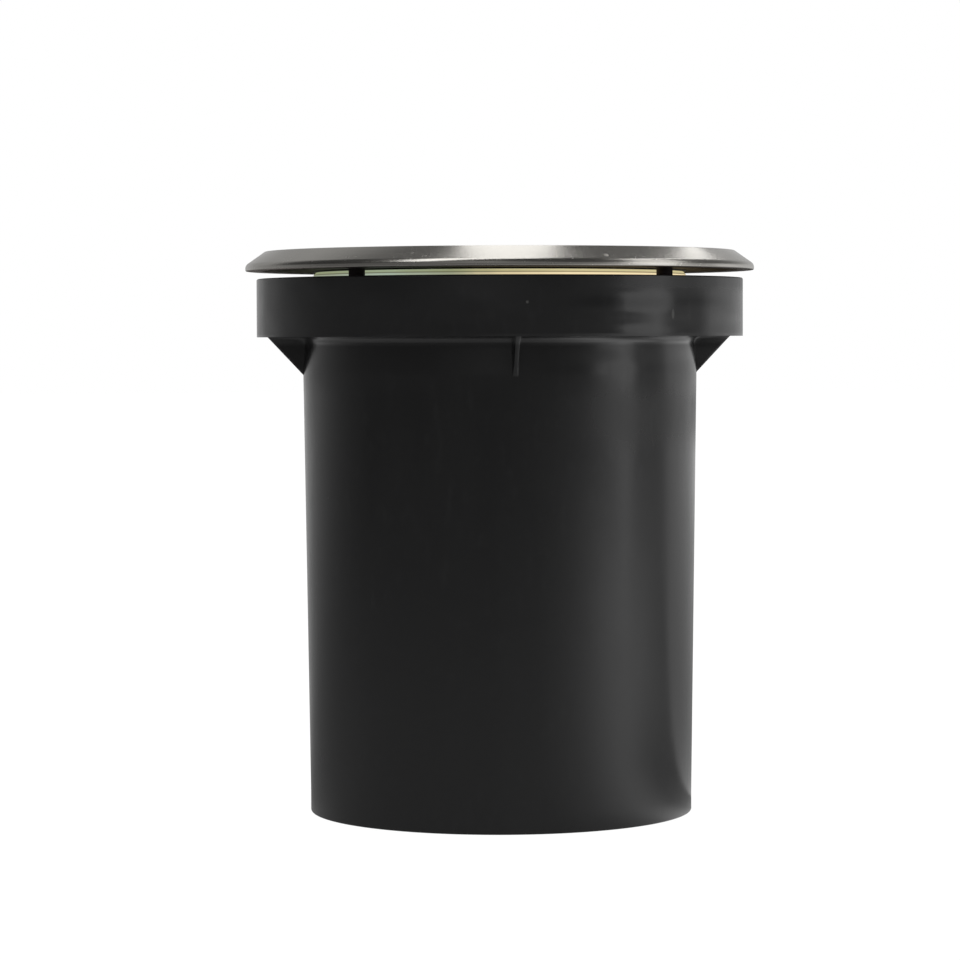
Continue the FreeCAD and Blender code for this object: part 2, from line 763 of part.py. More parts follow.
def gland_locknut(label):
    """Thin hexagon nut on the thread inside the cup."""
    body = new_body(label)
    extrude(body, "Nut", "XY_Plane", cup_floor_top, [hexagon(gland_flats)],
            d.gland_nut_height, circles=[(ZERO, ZERO, gland_thread + d.screw_fit)])
    return body


def glands():
    """The five pieces of each gland, set under the left and the right cable hole."""
    pieces = []
    for side, (x, y) in zip(("left", "right"), gland_places):
        for make in (gland_body, gland_washer, gland_grip, gland_dome, gland_locknut):
            piece = make(f"{make.__name__}_{side}")
            place(piece, x=x, y=y)
            pieces.append(piece)
    return pieces


# ---------------------------------------------------------------- bracket and swinging cradle

bracket_floor = cup_floor_top + d.bracket_thickness
holder_screw_y = d.cradle_width / 2 - d.holder_screw_edge
holder_screw_places = [(d.holder_screw_x, -holder_screw_y),
                       (-d.holder_screw_x, holder_screw_y)]


def bent_strip(label, half_span, bottom, thickness, width, pivot_hole, screw_holes):
    """A strip bent up into two arms with round ends, a pivot hole near each end."""
    body = new_body(label)
    inner = half_span - thickness
    top = pivot_height + width / 2
    extrude(body, "Strip", "XZ_Plane", 0, [[
        (-half_span, bottom), (half_span, bottom),
        (half_span, top), (inner, top),
        (inner, bottom + thickness), (-inner, bottom + thickness),
        (-inner, top), (-half_span, top)]], width, both_ways=True)
    across, along = FreeCAD.Vector(1, 0, 0), FreeCAD.Vector(0, 1, 0)
    inside = edges_along(body.Tip.Shape, along, bottom + thickness)
    soften(body, "InnerBends", inside, d.bend_radius)
    outside = edges_along(body.Tip.Shape, along, bottom)
    soften(body, "OuterBends", outside, d.bend_radius + thickness)
    ends = edges_along(body.Tip.Shape, across, top)
    soften(body, "RoundEnds", ends, width / 2 - d.arm_end_flat)
    extrude(body, "PivotHoles", "YZ_Plane", 0, [], None, cut=True, through=True,
            both_ways=True, circles=[(ZERO, pivot_height, pivot_hole)])
    extrude(body, "ScrewHoles", "XY_Plane", bottom + thickness, [], None, cut=True,
            through=True, circles=screw_holes)
    return body


def holder_bracket():
    """Fixed bracket, screwed to the cup's floor."""
    holes = [(x, y, d.small_screw_radius + d.through_fit) for x, y in bracket_screw_places]
    return bent_strip("holder_bracket", bracket_half_span, cup_floor_top,
                      d.bracket_thickness, d.bracket_width,
                      d.rivet_radius + d.screw_fit, holes)


def lamp_cradle():
    """Swinging cradle that carries the lampholder between its arms."""
    holes = [(x, y, d.holder_screw_radius + d.screw_fit) for x, y in holder_screw_places]
    return bent_strip("lamp_cradle", cradle_half_span, cradle_bottom,
                      d.cradle_thickness, d.cradle_width,
                      d.rivet_radius + d.rivet_fit, holes)


def bracket_screws():
    """Two pan-head screws through the bracket into the cup's floor."""
    body = new_body("bracket_screws")
    screw = turn(body, "Screw", [
        (ZERO, cup_floor_top - d.small_screw_bite),
        (d.small_screw_radius, cup_floor_top - d.small_screw_bite),
        (d.small_screw_radius, bracket_floor),
        (d.small_screw_head_radius, bracket_floor),
        (d.small_screw_head_radius, bracket_floor + d.small_screw_head_height),
        (ZERO, bracket_floor + d.small_screw_head_height)],
        shift=upright_at(d.bracket_screw_offset, ZERO))
    repeat_round(body, "Screws", [screw], PAIR)
    return body


def pivot_rivets():
    """Two headed rivets that the cradle turns on, one through each pair of arms."""
    body = new_body("pivot_rivets")
    inner_face = cradle_inner_half - d.washer_play
    rivet = turn(body, "Rivet", [
        (inner_face - d.rivet_head_height, ZERO),
        (bracket_half_span + d.rivet_head_height, ZERO),
        (bracket_half_span + d.rivet_head_height, d.rivet_head_radius),
        (bracket_half_span, d.rivet_head_radius),
        (bracket_half_span, d.rivet_radius),
        (inner_face, d.rivet_radius),
        (inner_face, d.rivet_head_radius),
        (inner_face - d.rivet_head_height, d.rivet_head_radius)],
        shift=(ZERO, pivot_height, ZERO), axis="H_Axis")
    repeat_round(body, "Rivets", [rivet], PAIR)
    return body


def pivot_washers():
    """Two friction washers between the arms of the cradle and those of the bracket."""
    body = new_body("pivot_washers")
    washer = turn(body, "Washer", rectangle(
        cradle_half_span + d.washer_play, d.rivet_radius + d.rivet_fit,
        bracket_inner_half, d.washer_radius),
        shift=(ZERO, pivot_height, ZERO), axis="H_Axis")
    repeat_round(body, "Washers", [washer], PAIR)
    return body


# ---------------------------------------------------------------- lampholder

lid_bottom = holder_top - d.holder_lid
pin_end = lamp_base - d.pin_length
cavity_floor = pin_end - d.contact_clearance - d.contact_thickness
pin_cavity = d.pin_head_radius + d.pin_slot_clearance
pin_slot = d.pin_neck_radius + d.pin_slot_clearance
locked_places = [(-d.pin_circle, ZERO), (d.pin_circle, ZERO)]
free_x, free_y = polar(d.pin_circle, d.lamp_twist_range)
free_places = [(-free_x, -free_y), (free_x, free_y)]


def ring_sector(body, name, half_width, low, high, kind="Groove"):
    """An arc-shaped piece round the lamp's axis, from the locked to the free place."""
    return turn(body, name, rectangle(
        d.pin_circle - half_width, low, d.pin_circle + half_width, high),
        kind=kind, angle=d.lamp_twist_range)


def lampholder():
    """Ceramic block with two keyhole slots, each over a wider cavity for the pin's head."""
    body = new_body("lampholder")
    x, y = d.holder_length / 2, d.holder_depth / 2
    extrude(body, "Block", "XY_Plane", cradle_floor, [rectangle(-x, -y, x, y)],
            d.holder_height)
    corners = edges_along(body.Tip.Shape, FreeCAD.Vector(0, 0, 1))
    soften(body, "CornerRounds", corners, d.holder_round)
    cavity = ring_sector(body, "Cavity", pin_cavity, cavity_floor, lid_bottom)
    slot = ring_sector(body, "Slot", pin_slot, lid_bottom, holder_top)
    repeat_round(body, "Slots", [cavity, slot], PAIR)
    extrude(body, "CavityEnds", "XY_Plane", lid_bottom, [], lid_bottom - cavity_floor,
            circles=[(x, y, pin_cavity) for x, y in locked_places], cut=True)
    extrude(body, "SlotEnds", "XY_Plane", holder_top, [], d.holder_lid,
            circles=[(x, y, pin_slot) for x, y in locked_places], cut=True)
    extrude(body, "PinEntries", "XY_Plane", holder_top, [], holder_top - cavity_floor,
            circles=[(x, y, pin_cavity) for x, y in free_places], cut=True)
    head_seat = d.holder_screw_head_height + d.holder_lid
    extrude(body, "ScrewWells", "XY_Plane", holder_top, [], head_seat, cut=True,
            circles=[(x, y, d.holder_screw_head_radius + d.through_fit)
                     for x, y in holder_screw_places])
    extrude(body, "ScrewHoles", "XY_Plane", holder_top, [], None, cut=True, through=True,
            circles=[(x, y, d.holder_screw_radius + d.through_fit)
                     for x, y in holder_screw_places])
    return body


def holder_contacts():
    """Two brass leaves on the floors of the cavities, under the lamp's pins."""
    body = new_body("holder_contacts")
    leaf = ring_sector(body, "Leaf", d.pin_neck_radius, cavity_floor,
                       cavity_floor + d.contact_thickness, kind="Revolution")
    repeat_round(body, "Leaves", [leaf], PAIR)
    return body


def holder_screws():
    """Two screws down through the lampholder into the cradle."""
    body = new_body("holder_screws")
    seat = holder_top - d.holder_lid - d.holder_screw_head_height
    screw = turn(body, "Screw", [
        (ZERO, cradle_bottom),
        (d.holder_screw_radius, cradle_bottom),
        (d.holder_screw_radius, seat),
        (d.holder_screw_head_radius, seat),
        (d.holder_screw_head_radius, seat + d.holder_screw_head_height),
        (ZERO, seat + d.holder_screw_head_height)],
        shift=upright_at(*holder_screw_places[0]))
    repeat_round(body, "Screws", [screw], PAIR)
    return body


# ---------------------------------------------------------------- lamp

lamp_waist = lamp_base + d.lamp_waist_height
lamp_rim = lamp_top - d.lamp_rim_height
lens_top = lamp_top - d.lens_inset
lens_bottom = lens_top - d.lens_thickness
board_top = lens_bottom - d.board_inset
board_bottom = board_top - d.board_thickness
lens_seat_radius = d.lamp_radius - d.lamp_shell
board_seat_radius = lens_seat_radius - d.lamp_shell


def lamp_body():
    """Flared shell of the lamp, with a seat for the lens and one for the board."""
    return lathe("lamp_body", [
        (ZERO, lamp_waist),
        (d.lamp_waist_radius, lamp_waist),
        (d.lamp_radius - d.lamp_flare, lamp_rim - d.lamp_flare_height),
        (d.lamp_radius, lamp_rim),
        (d.lamp_radius, lamp_top),
        (lens_seat_radius, lamp_top),
        (lens_seat_radius, lens_bottom),
        (board_seat_radius, lens_bottom),
        (board_seat_radius, board_bottom),
        (board_seat_radius - d.lamp_shell, board_bottom),
        (d.lamp_waist_radius - d.lamp_shell, lamp_waist + d.lamp_shell),
        (ZERO, lamp_waist + d.lamp_shell)])


def lamp_cap():
    """Insulating cap of the lamp, with a hole for the upper end of each pin."""
    body = lathe("lamp_cap", [
        (ZERO, lamp_base),
        (d.cap_radius, lamp_base),
        (d.cap_radius, lamp_base + d.cap_skirt),
        (d.lamp_waist_radius, lamp_waist),
        (ZERO, lamp_waist)])
    extrude(body, "PinHoles", "XY_Plane", lamp_base + d.pin_head_length, [],
            d.pin_head_length, cut=True,
            circles=[(x, y, d.pin_neck_radius + d.screw_fit) for x, y in locked_places])
    return body


def lamp_pins():
    """Two headed pins that hook under the lampholder's lid."""
    body = new_body("lamp_pins")
    pin = turn(body, "Pin", [
        (ZERO, pin_end),
        (d.pin_head_radius, pin_end),
        (d.pin_head_radius, pin_end + d.pin_head_length),
        (d.pin_neck_radius, pin_end + d.pin_head_length),
        (d.pin_neck_radius, lamp_base + d.pin_head_length),
        (ZERO, lamp_base + d.pin_head_length)], shift=upright_at(d.pin_circle, ZERO))
    repeat_round(body, "Pins", [pin], PAIR)
    return body


def led_board():
    """Round board across the mouth of the lamp's shell."""
    return lathe("led_board", rectangle(
        ZERO, board_bottom, board_seat_radius - d.lens_clearance, board_top))


def led_chips():
    """Square light sources set in a circle on the board."""
    body = new_body("led_chips")
    half = d.chip_width / 2
    chip = extrude(body, "Chip", "XY_Plane", board_top,
                   [rectangle(d.chip_circle - half, -half, d.chip_circle + half, half)],
                   d.chip_height)
    repeat_round(body, "Chips", [chip], d.chip_count)
    return body


def lamp_lens():
    """Diffusing disc in the lamp's mouth."""
    return lathe("lamp_lens", rectangle(
        ZERO, lens_bottom, lens_seat_radius - d.lens_clearance, lens_top))


# ---------------------------------------------------------------- terminals

pillar_floor = cup_floor_top + d.terminal_floor
pillar_top = pillar_floor + d.terminal_pillar_height
terminal_top = cup_floor_top + d.terminal_height
wire_height = pillar_floor + d.terminal_pillar_half
pole_places = [d.terminal_pitch * (index - (SIZES["terminal_count"] - 1) / 2)
               for index in range(SIZES["terminal_count"])]


def terminal_block():
    """Moulded block with a tunnel for each pole, a well over it and two fixing holes."""
    body = new_body("terminal_block")
    x, y = terminal_half, d.terminal_depth / 2
    extrude(body, "Block", "XY_Plane", cup_floor_top, [rectangle(-x, -y, x, y)],
            d.terminal_height)
    half = d.terminal_pillar_half + d.terminal_clearance
    tunnels = [rectangle(pole - half, pillar_floor, pole + half,
                         pillar_top + d.terminal_clearance) for pole in pole_places]
    extrude(body, "Tunnels", "XZ_Plane", 0, tunnels, None, cut=True, through=True,
            both_ways=True)
    extrude(body, "Wells", "XY_Plane", terminal_top, [], terminal_top - pillar_top, cut=True,
            circles=[(pole, ZERO, d.terminal_well_radius) for pole in pole_places])
    extrude(body, "FixingHoles", "XY_Plane", terminal_top, [], None, cut=True, through=True,
            circles=[(x, ZERO, d.fixing_screw_radius + d.through_fit)
                     for x, y in fixing_places])
    place(body, y=terminal_y)
    return body


def terminal_pillars():
    """Brass clamps with a cross tunnel for the wire and a threaded hole on top."""
    body = new_body("terminal_pillars")
    half = d.terminal_pillar_half
    outlines = [rectangle(pole - half, pillar_floor, pole + half, pillar_top)
                for pole in pole_places]
    wires = [(pole, wire_height, d.terminal_tunnel_radius) for pole in pole_places]
    extrude(body, "Pillars", "XZ_Plane", 0, outlines,
            d.terminal_depth - d.terminal_pillar_inset * 2, circles=wires, both_ways=True)
    extrude(body, "Threads", "XY_Plane", pillar_top, [], pillar_top - wire_height, cut=True,
            circles=[(pole, ZERO, d.terminal_screw_radius + d.screw_fit)
                     for pole in pole_places])
    place(body, y=terminal_y)
    return body


def terminal_screws():
    """Grub screws that clamp the wires in the pillars."""
    body = new_body("terminal_screws")
    end = wire_height + d.terminal_tunnel_radius - d.terminal_clearance
    extrude(body, "Screws", "XY_Plane", end, [], d.terminal_screw_height,
            circles=[(pole, ZERO, d.terminal_screw_radius) for pole in pole_places])
    place(body, y=terminal_y)
    return body


def terminal_fixing_screws():
    """Two screws down between the poles into the cup's floor."""
    body = new_body("terminal_fixing_screws")
    low = cup_floor_top - d.small_screw_bite
    extrude(body, "Shanks", "XY_Plane", low, [], terminal_top - low,
            circles=[(x, ZERO, d.fixing_screw_radius) for x, y in fixing_places])
    extrude(body, "Heads", "XY_Plane", terminal_top, [], d.fixing_head_height,
            circles=[(x, ZERO, d.fixing_head_radius) for x, y in fixing_places])
    place(body, y=terminal_y)
    return body


def earth_washer():
    """Flat washer under the earth screw."""
    body = lathe("earth_washer", rectangle(
        d.earth_screw_radius + d.through_fit, cup_floor_top,
        d.earth_washer_radius, cup_floor_top + d.earth_washer_thickness))
    place(body, x=earth_place[0], y=earth_place[1])
    return body


def earth_screw():
    """Pan-head screw for the earth wire."""
    seat = cup_floor_top + d.earth_washer_thickness
    body = lathe("earth_screw", [
        (ZERO, cup_floor_top - d.small_screw_bite),
        (d.earth_screw_radius, cup_floor_top - d.small_screw_bite),
        (d.earth_screw_radius, seat),
        (d.earth_head_radius, seat),
        (d.earth_head_radius, seat + d.earth_head_height),
        (ZERO, seat + d.earth_head_height)])
    place(body, x=earth_place[0], y=earth_place[1])
    return body


# ---------------------------------------------------------------- build, test and write


def build_all():
    """Make every sub-part, from the ground up."""
    pieces = [ground_sleeve(), lamp_housing()]
    pieces += glands()
    for make in (holder_bracket, bracket_screws, pivot_rivets, pivot_washers,
                 lamp_cradle, lampholder, holder_contacts, holder_screws,
                 lamp_cap, lamp_pins, lamp_body, led_board, led_chips, lamp_lens,
                 terminal_block, terminal_pillars, terminal_screws, terminal_fixing_screws,
                 earth_washer, earth_screw,
                 glass_gasket, glass_lens, bezel_seal, bezel_ring, bezel_screws):
        pieces.append(make())
    return pieces


def check_all(pieces):
    """Stop if any object failed or any sub-part has no sound solid."""
    for item in DOC.Objects:
        if "Invalid" in item.State or "Error" in item.State:
            raise RuntimeError(f"{item.Label} failed: {item.State}")
    for piece in pieces:
        shape = piece.Shape
        if shape.isNull() or not shape.isValid() or not shape.Solids:
            raise RuntimeError(piece.Label + " has no valid solid")


def write_all(pieces):
    """Write one STEP file for each sub-part, named after its label."""
    os.makedirs("parts", exist_ok=True)
    for piece in pieces:
        piece.Shape.exportStep(f"parts/{piece.Label}.step")
        box = piece.Shape.BoundBox
        print(f"{piece.Label:24s} solids {len(piece.Shape.Solids)}  "
              f"volume {piece.Shape.Volume:10.1f}  z {box.ZMin:7.2f} to {box.ZMax:7.2f}")


ALL_PIECES = build_all()
DOC.recompute()
check_all(ALL_PIECES)
write_all(ALL_PIECES)
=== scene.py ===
import math

import bmesh
import bpy
import numpy as np
from mathutils import Matrix, Vector


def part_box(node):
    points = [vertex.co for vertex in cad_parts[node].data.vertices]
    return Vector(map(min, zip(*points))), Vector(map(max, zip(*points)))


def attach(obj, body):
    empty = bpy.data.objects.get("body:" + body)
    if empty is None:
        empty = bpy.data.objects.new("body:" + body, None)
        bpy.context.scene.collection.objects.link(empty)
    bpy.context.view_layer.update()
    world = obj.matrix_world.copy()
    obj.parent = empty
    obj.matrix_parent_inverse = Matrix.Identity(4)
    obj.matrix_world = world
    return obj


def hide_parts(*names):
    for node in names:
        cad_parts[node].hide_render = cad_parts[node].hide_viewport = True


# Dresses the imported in-ground well light: a turned steel bezel on four screws, thick ground-edge
# glass, a black moulded sleeve, and the lamp, its holder and the cable glands inside and below.

bl_info = {
    "name": "In-ground well light",
    "version": (1, 0, 0),
    "blender": (4, 5, 0),
    "location": "View3D > Sidebar > Well light",
    "description": "Surfaces, finishes and studio for the packed in-ground well light",
    "category": "Object",
}

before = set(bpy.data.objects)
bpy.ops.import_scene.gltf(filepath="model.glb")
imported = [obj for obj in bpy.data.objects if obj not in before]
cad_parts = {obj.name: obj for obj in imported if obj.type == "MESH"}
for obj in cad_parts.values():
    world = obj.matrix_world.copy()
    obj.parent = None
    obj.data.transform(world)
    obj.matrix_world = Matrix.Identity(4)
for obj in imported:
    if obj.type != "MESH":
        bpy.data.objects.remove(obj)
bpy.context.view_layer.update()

MM = 0.001
BEZEL_LOW, BEZEL_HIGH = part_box("bezel_ring")
GLASS_LOW, GLASS_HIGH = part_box("glass_lens")
SLEEVE_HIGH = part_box("ground_sleeve")[1]
SCREWS_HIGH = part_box("bezel_screws")[1]
HEAD_RADIUS = 3.2
SCREW_CIRCLE = (SCREWS_HIGH[0] / MM - HEAD_RADIUS) / math.cos(math.radians(45))


# ---------------------------------------------------------------- surfaces from arrays


class Skin:
    """Grids of points gathered into one mesh, with their shared edges merged."""

    def __init__(self):
        self.points = []
        self.faces = []
        self.size = 0

    def add(self, grid, wrap_rows=False, wrap_columns=False):
        """Add a grid of points, rows by columns; a wrapped side joins its last to its first."""
        rows, columns = grid.shape[:2]
        row = np.arange(rows if wrap_rows else rows - 1)[:, None]
        column = np.arange(columns if wrap_columns else columns - 1)[None, :]
        next_row, next_column = (row + 1) % rows, (column + 1) % columns
        corners = (row * columns + column, next_row * columns + column,
                   next_row * columns + next_column, row * columns + next_column)
        quads = np.stack(np.broadcast_arrays(*corners), axis=-1).reshape(-1, 4)
        self.points.append(grid.reshape(-1, 3))
        self.faces.append(quads + self.size)
        self.size += rows * columns
        return self

    def piece(self, name, sharp=35.0):
        """Make the object in metres, and keep edges that are sharper than an angle."""
        points = np.concatenate(self.points) * MM
        quads = np.concatenate(self.faces)
        mesh = bpy.data.meshes.new(name)
        mesh.vertices.add(len(points))
        mesh.vertices.foreach_set("co", points.ravel())
        mesh.loops.add(quads.size)
        mesh.loops.foreach_set("vertex_index", quads.ravel().astype(np.int32))
        mesh.polygons.add(len(quads))
        mesh.polygons.foreach_set("loop_start", np.arange(0, quads.size, 4, dtype=np.int32))
        mesh.update(calc_edges=True)
        tidy = bmesh.new()
        tidy.from_mesh(mesh)
        bmesh.ops.remove_doubles(tidy, verts=tidy.verts, dist=2e-7)
        bmesh.ops.dissolve_degenerate(tidy, edges=tidy.edges, dist=2e-8)
        bmesh.ops.recalc_face_normals(tidy, faces=tidy.faces)
        tidy.to_mesh(mesh)
        tidy.free()
        mesh.polygons.foreach_set("use_smooth", np.ones(len(mesh.polygons), dtype=bool))
        mesh.set_sharp_from_angle(angle=math.radians(sharp))
        piece = bpy.data.objects.new(name, mesh)
        bpy.context.scene.collection.objects.link(piece)
        return piece


def rounded(corners, steps=5):
    """Round an outline's corners, each given as (across, up, radius), as a closed loop.

    At each corner the arc's centre lies on the bisector at radius / sin(half the corner's angle),
    and the arc swings from square to the one side to square to the other by spherical blending.
    """
    corners = np.array(corners, dtype=float)
    spots, radii = corners[:, :2], corners[:, 2]
    back = np.roll(spots, 1, axis=0) - spots
    ahead = np.roll(spots, -1, axis=0) - spots
    back /= np.linalg.norm(back, axis=1, keepdims=True)
    ahead /= np.linalg.norm(ahead, axis=1, keepdims=True)
    half = np.arccos(np.clip((back * ahead).sum(axis=1), -1, 1)) / 2
    middle = back + ahead
    middle /= np.linalg.norm(middle, axis=1, keepdims=True)
    sine, cosine = np.sin(half)[:, None], np.cos(half)[:, None]
    first, last = (back * cosine - middle) / sine, (ahead * cosine - middle) / sine
    swing = (np.pi - 2 * half)[:, None, None]
    part = np.linspace(0, 1, steps + 1)[None, :, None]
    arcs = (first[:, None] * np.sin((1 - part) * swing)
            + last[:, None] * np.sin(part * swing)) / np.sin(swing)
    centres = spots + middle * radii[:, None] / sine
    return (centres[:, None] + arcs * radii[:, None, None]).reshape(-1, 2)


def turned(outline, angle):
    """Turn an outline of (radius, height) round the upright axis: x = r cos a, y = r sin a."""
    radius, height = outline[:, 0], outline[:, 1]
    return np.stack([np.outer(np.cos(angle), radius), np.outer(np.sin(angle), radius),
                     np.broadcast_to(height, (angle.size, height.size))], axis=-1)


def on_circle(radius, turn, height):
    """A place in metres from a radius and a height in millimetres and a turn."""
    return (radius * math.cos(turn) * MM, radius * math.sin(turn) * MM, height * MM)


# ---------------------------------------------------------------- shader maths


class Value:
    """A node's output socket. Arithmetic on it adds a Math node to the same tree."""

    def __init__(self, shader, socket):
        self.shader = shader
        self.socket = socket

    def maths(self, operation, first, second=0.0):
        return self.shader.node("ShaderNodeMath", {"operation": operation},
                                {0: first, 1: second})

    def sine(self):
        return self.maths("SINE", self)

    def root(self):
        return self.maths("SQRT", self)

    def least(self, other):
        return self.maths("MINIMUM", self, other)

    def most(self, other):
        return self.maths("MAXIMUM", self, other)

    def __add__(self, other):
        return self.maths("ADD", self, other)

    def __radd__(self, other):
        return self.maths("ADD", other, self)

    def __sub__(self, other):
        return self.maths("SUBTRACT", self, other)

    def __rsub__(self, other):
        return self.maths("SUBTRACT", other, self)

    def __mul__(self, other):
        return self.maths("MULTIPLY", self, other)

    def __rmul__(self, other):
        return self.maths("MULTIPLY", other, self)


class Shader:
    """The node tree of one finish, grown by expressions."""

    def __init__(self, tree):
        self.tree = tree
        tree.nodes.clear()

    def node(self, kind, settings=None, inputs=None, output=0):
        """Add a node: its settings first, then values or links for its sockets."""
        node = self.tree.nodes.new(kind)
        for key, setting in (settings or {}).items():
            if key == "stops":
                self.set_stops(node.color_ramp, setting)
            else:
                setattr(node, key, setting)
        for key, value in (inputs or {}).items():
            if isinstance(value, Value):
                self.tree.links.new(value.socket, node.inputs[key])
            else:
                node.inputs[key].default_value = value
        return Value(self, node.outputs[output]) if node.outputs else None

    @staticmethod
    def set_stops(ramp, stops):
        """Give a ramp its stops, each a place and a grey level or colour."""
        while len(ramp.elements) < len(stops):
            ramp.elements.new(1.0)
        for element, (place, shade) in zip(ramp.elements, stops):
            element.position = place
            element.color = shade if isinstance(shade, tuple) else (shade, shade, shade, 1.0)

    def ramp(self, value, stops):
        """Pass a value through a ramp of stops."""
        return self.node("ShaderNodeValToRGB", {"stops": stops}, {"Fac": value})

    def step(self, value, low, high):
        """Rise softly from 0 to 1 between two values."""
        return self.node("ShaderNodeMapRange", {"interpolation_type": "SMOOTHSTEP"},
                         {"Value": value, "From Min": low, "From Max": high})

    def blend(self, factor, first, second):
        """Mix two colours by a factor."""
        return self.node("ShaderNodeMix", {"data_type": "RGBA"},
                         {0: factor, 6: first, 7: second}, 2)

    def coordinates(self):
        """The piece's own coordinates, in metres."""
        return self.node("ShaderNodeTexCoord", output="Object")

    def split(self, vector):
        """The three parts of a vector."""
        apart = self.node("ShaderNodeSeparateXYZ", None, {0: vector})
        outputs = apart.socket.node.outputs
        return [Value(self, outputs[index]) for index in range(3)]

    def vector(self, x, y, z):
        """A vector from three parts."""
        return self.node("ShaderNodeCombineXYZ", None, {0: x, 1: y, 2: z})

    def noise(self, vector, scale, detail=2.0, roughness=0.5):
        """Soft noise between 0 and 1, with a scale in waves per metre."""
        return self.node("ShaderNodeTexNoise", None, {
            "Vector": vector, "Scale": scale, "Detail": detail, "Roughness": roughness})

    def cells(self, vector, scale):
        """Distance to the nearest point of a scatter."""
        return self.node("ShaderNodeTexVoronoi", None, {"Vector": vector, "Scale": scale})

    def vector_maths(self, operation, vector, other, output=0):
        """Do maths on two vectors."""
        return self.node("ShaderNodeVectorMath", {"operation": operation},
                         {0: vector, 1: other}, output)

    def radius(self, vector):
        """Distance from the light's own upright axis."""
        x, y, _ = self.split(vector)
        return (x * x + y * y).root()

    def bump(self, height, strength, distance):
        """A normal from a height, a strength and the height of a full step in metres."""
        return self.node("ShaderNodeBump", None, {
            "Height": height, "Strength": strength, "Distance": distance}, "Normal")


def new_material(name):
    """An empty material and its shader."""
    material = bpy.data.materials.new(name)
    material.use_nodes = True
    return material, Shader(material.node_tree)


def finish(name, build, over=None, **constants):
    """Make a material: build gives the varying inputs, constants the fixed ones.

    over gives how much of a second surface covers the first, and that surface.
    """
    material, shader = new_material(name)
    inputs = {key.replace("_", " "): value for key, value in constants.items()}
    inputs.update(build(shader))
    surface = shader.node("ShaderNodeBsdfPrincipled", None, inputs)
    if over is not None:
        cover, second = over(shader)
        surface = shader.node("ShaderNodeMixShader", None, {0: cover, 1: surface, 2: second})
    shader.node("ShaderNodeOutputMaterial", None, {"Surface": surface})
    return material


# ---------------------------------------------------------------- finishes

TO_MM = 1000.0

# depths of a full step of the bumps, in metres
STEEL_PITS, PLASTIC_PITS, SWELL_DEPTH = 0.000008, 0.000012, 0.002


def shaded(colour, share):
    """A colour made darker or paler by a share."""
    return tuple(part * share for part in colour[:3]) + (1.0,)


def across(x):
    """Where a place lies from 50 mm left of the axis, 0, to 50 mm right of it, 1."""
    return x * 10.0 + 0.5


def moulded_plastic(name, colour, sheen, underside, nicks):
    """Injection-moulded plastic: fine spark-eroded texture, faint clouds and rubbed streaks.

    Above the collar's underside the wall has sunk a little, as thick mouldings do. On its right
    side the wall swells and falls with the height and is duller in two bands, and the hollow
    fillet under the collar is glossier all round. nicks are pale marks, each a place in metres, a
    radius in millimetres and how many times taller it is.
    """
    def build(shader):
        place = shader.coordinates()
        x, y, z = shader.split(place)
        around = shader.vector(x * 3.0, y * 3.0, z)
        clouds = shader.ramp(shader.noise(around, 38.0, 3.0), [(0.38, 0.0), (0.62, 1.0)])
        streaks = shader.noise(shader.vector(x, y, z * 0.12), 420.0, 2.0)
        grain = shader.noise(place, 5200.0, 2.0)
        # heights from here on are in millimetres above the underside
        level = (z - underside) * TO_MM
        sunk = (shader.noise(shader.vector(x, y, z * 1.5), 75.0, 1.0)
                * shader.ramp(level + 0.5, [(0.0, 0.15), (1.0, 1.0)]))
        rise = ((level - 9.85).most(0.0) * 0.13 + shader.step(level, -6.2, -1.6) * 0.30
                - ((level - 6.8).least(3.05).most(-6.1) * 1.03).sine() * 0.066)
        right = shader.ramp(across(x), [(0.56, 0.0), (0.72, 1.0)])
        dull = (shader.step(level, 8.6, 11.0) + shader.step(level, -26.0, -18.0)
                - shader.step(level, -15.0, -8.0))
        swell = rise * right * (SWELL_DEPTH / PLASTIC_PITS)
        scuffs = shader.ramp(shader.noise(around, 190.0, 3.0), [(0.56, 0.0), (0.78, 1.0)])
        fillet = shader.step(level, -2.1, -1.2) - shader.step(level, -0.2, 0.1)
        roughness = (sheen + 0.05 * clouds + 0.05 * (streaks - 0.5) + 0.06 * scuffs
                     + 0.11 * dull * right)
        tint = shader.blend(scuffs * 0.25, colour, shaded(colour, 2.1))
        for where, radius, tall in nicks:
            offset = shader.vector_maths("SUBTRACT", place, where)
            offset = shader.vector_maths("MULTIPLY", offset, (1.0, 1.0, 1.0 / tall))
            away = shader.vector_maths("DISTANCE", offset, (0.0, 0.0, 0.0), "Value")
            mark = shader.ramp(away * (0.5 * TO_MM / radius), [(0.3, 1.0), (0.6, 0.0)])
            tint = shader.blend(mark, tint, (0.050, 0.050, 0.048, 1.0))
        return {"Base Color": tint, "Roughness": roughness, "Coat Weight": 0.8 * fillet,
                "Normal": shader.bump(grain + 0.6 * streaks + 45.0 * sunk + swell, 0.5,
                                      PLASTIC_PITS)}
    return finish(name, build, Specular_IOR_Level=0.5, Coat_Roughness=0.25)


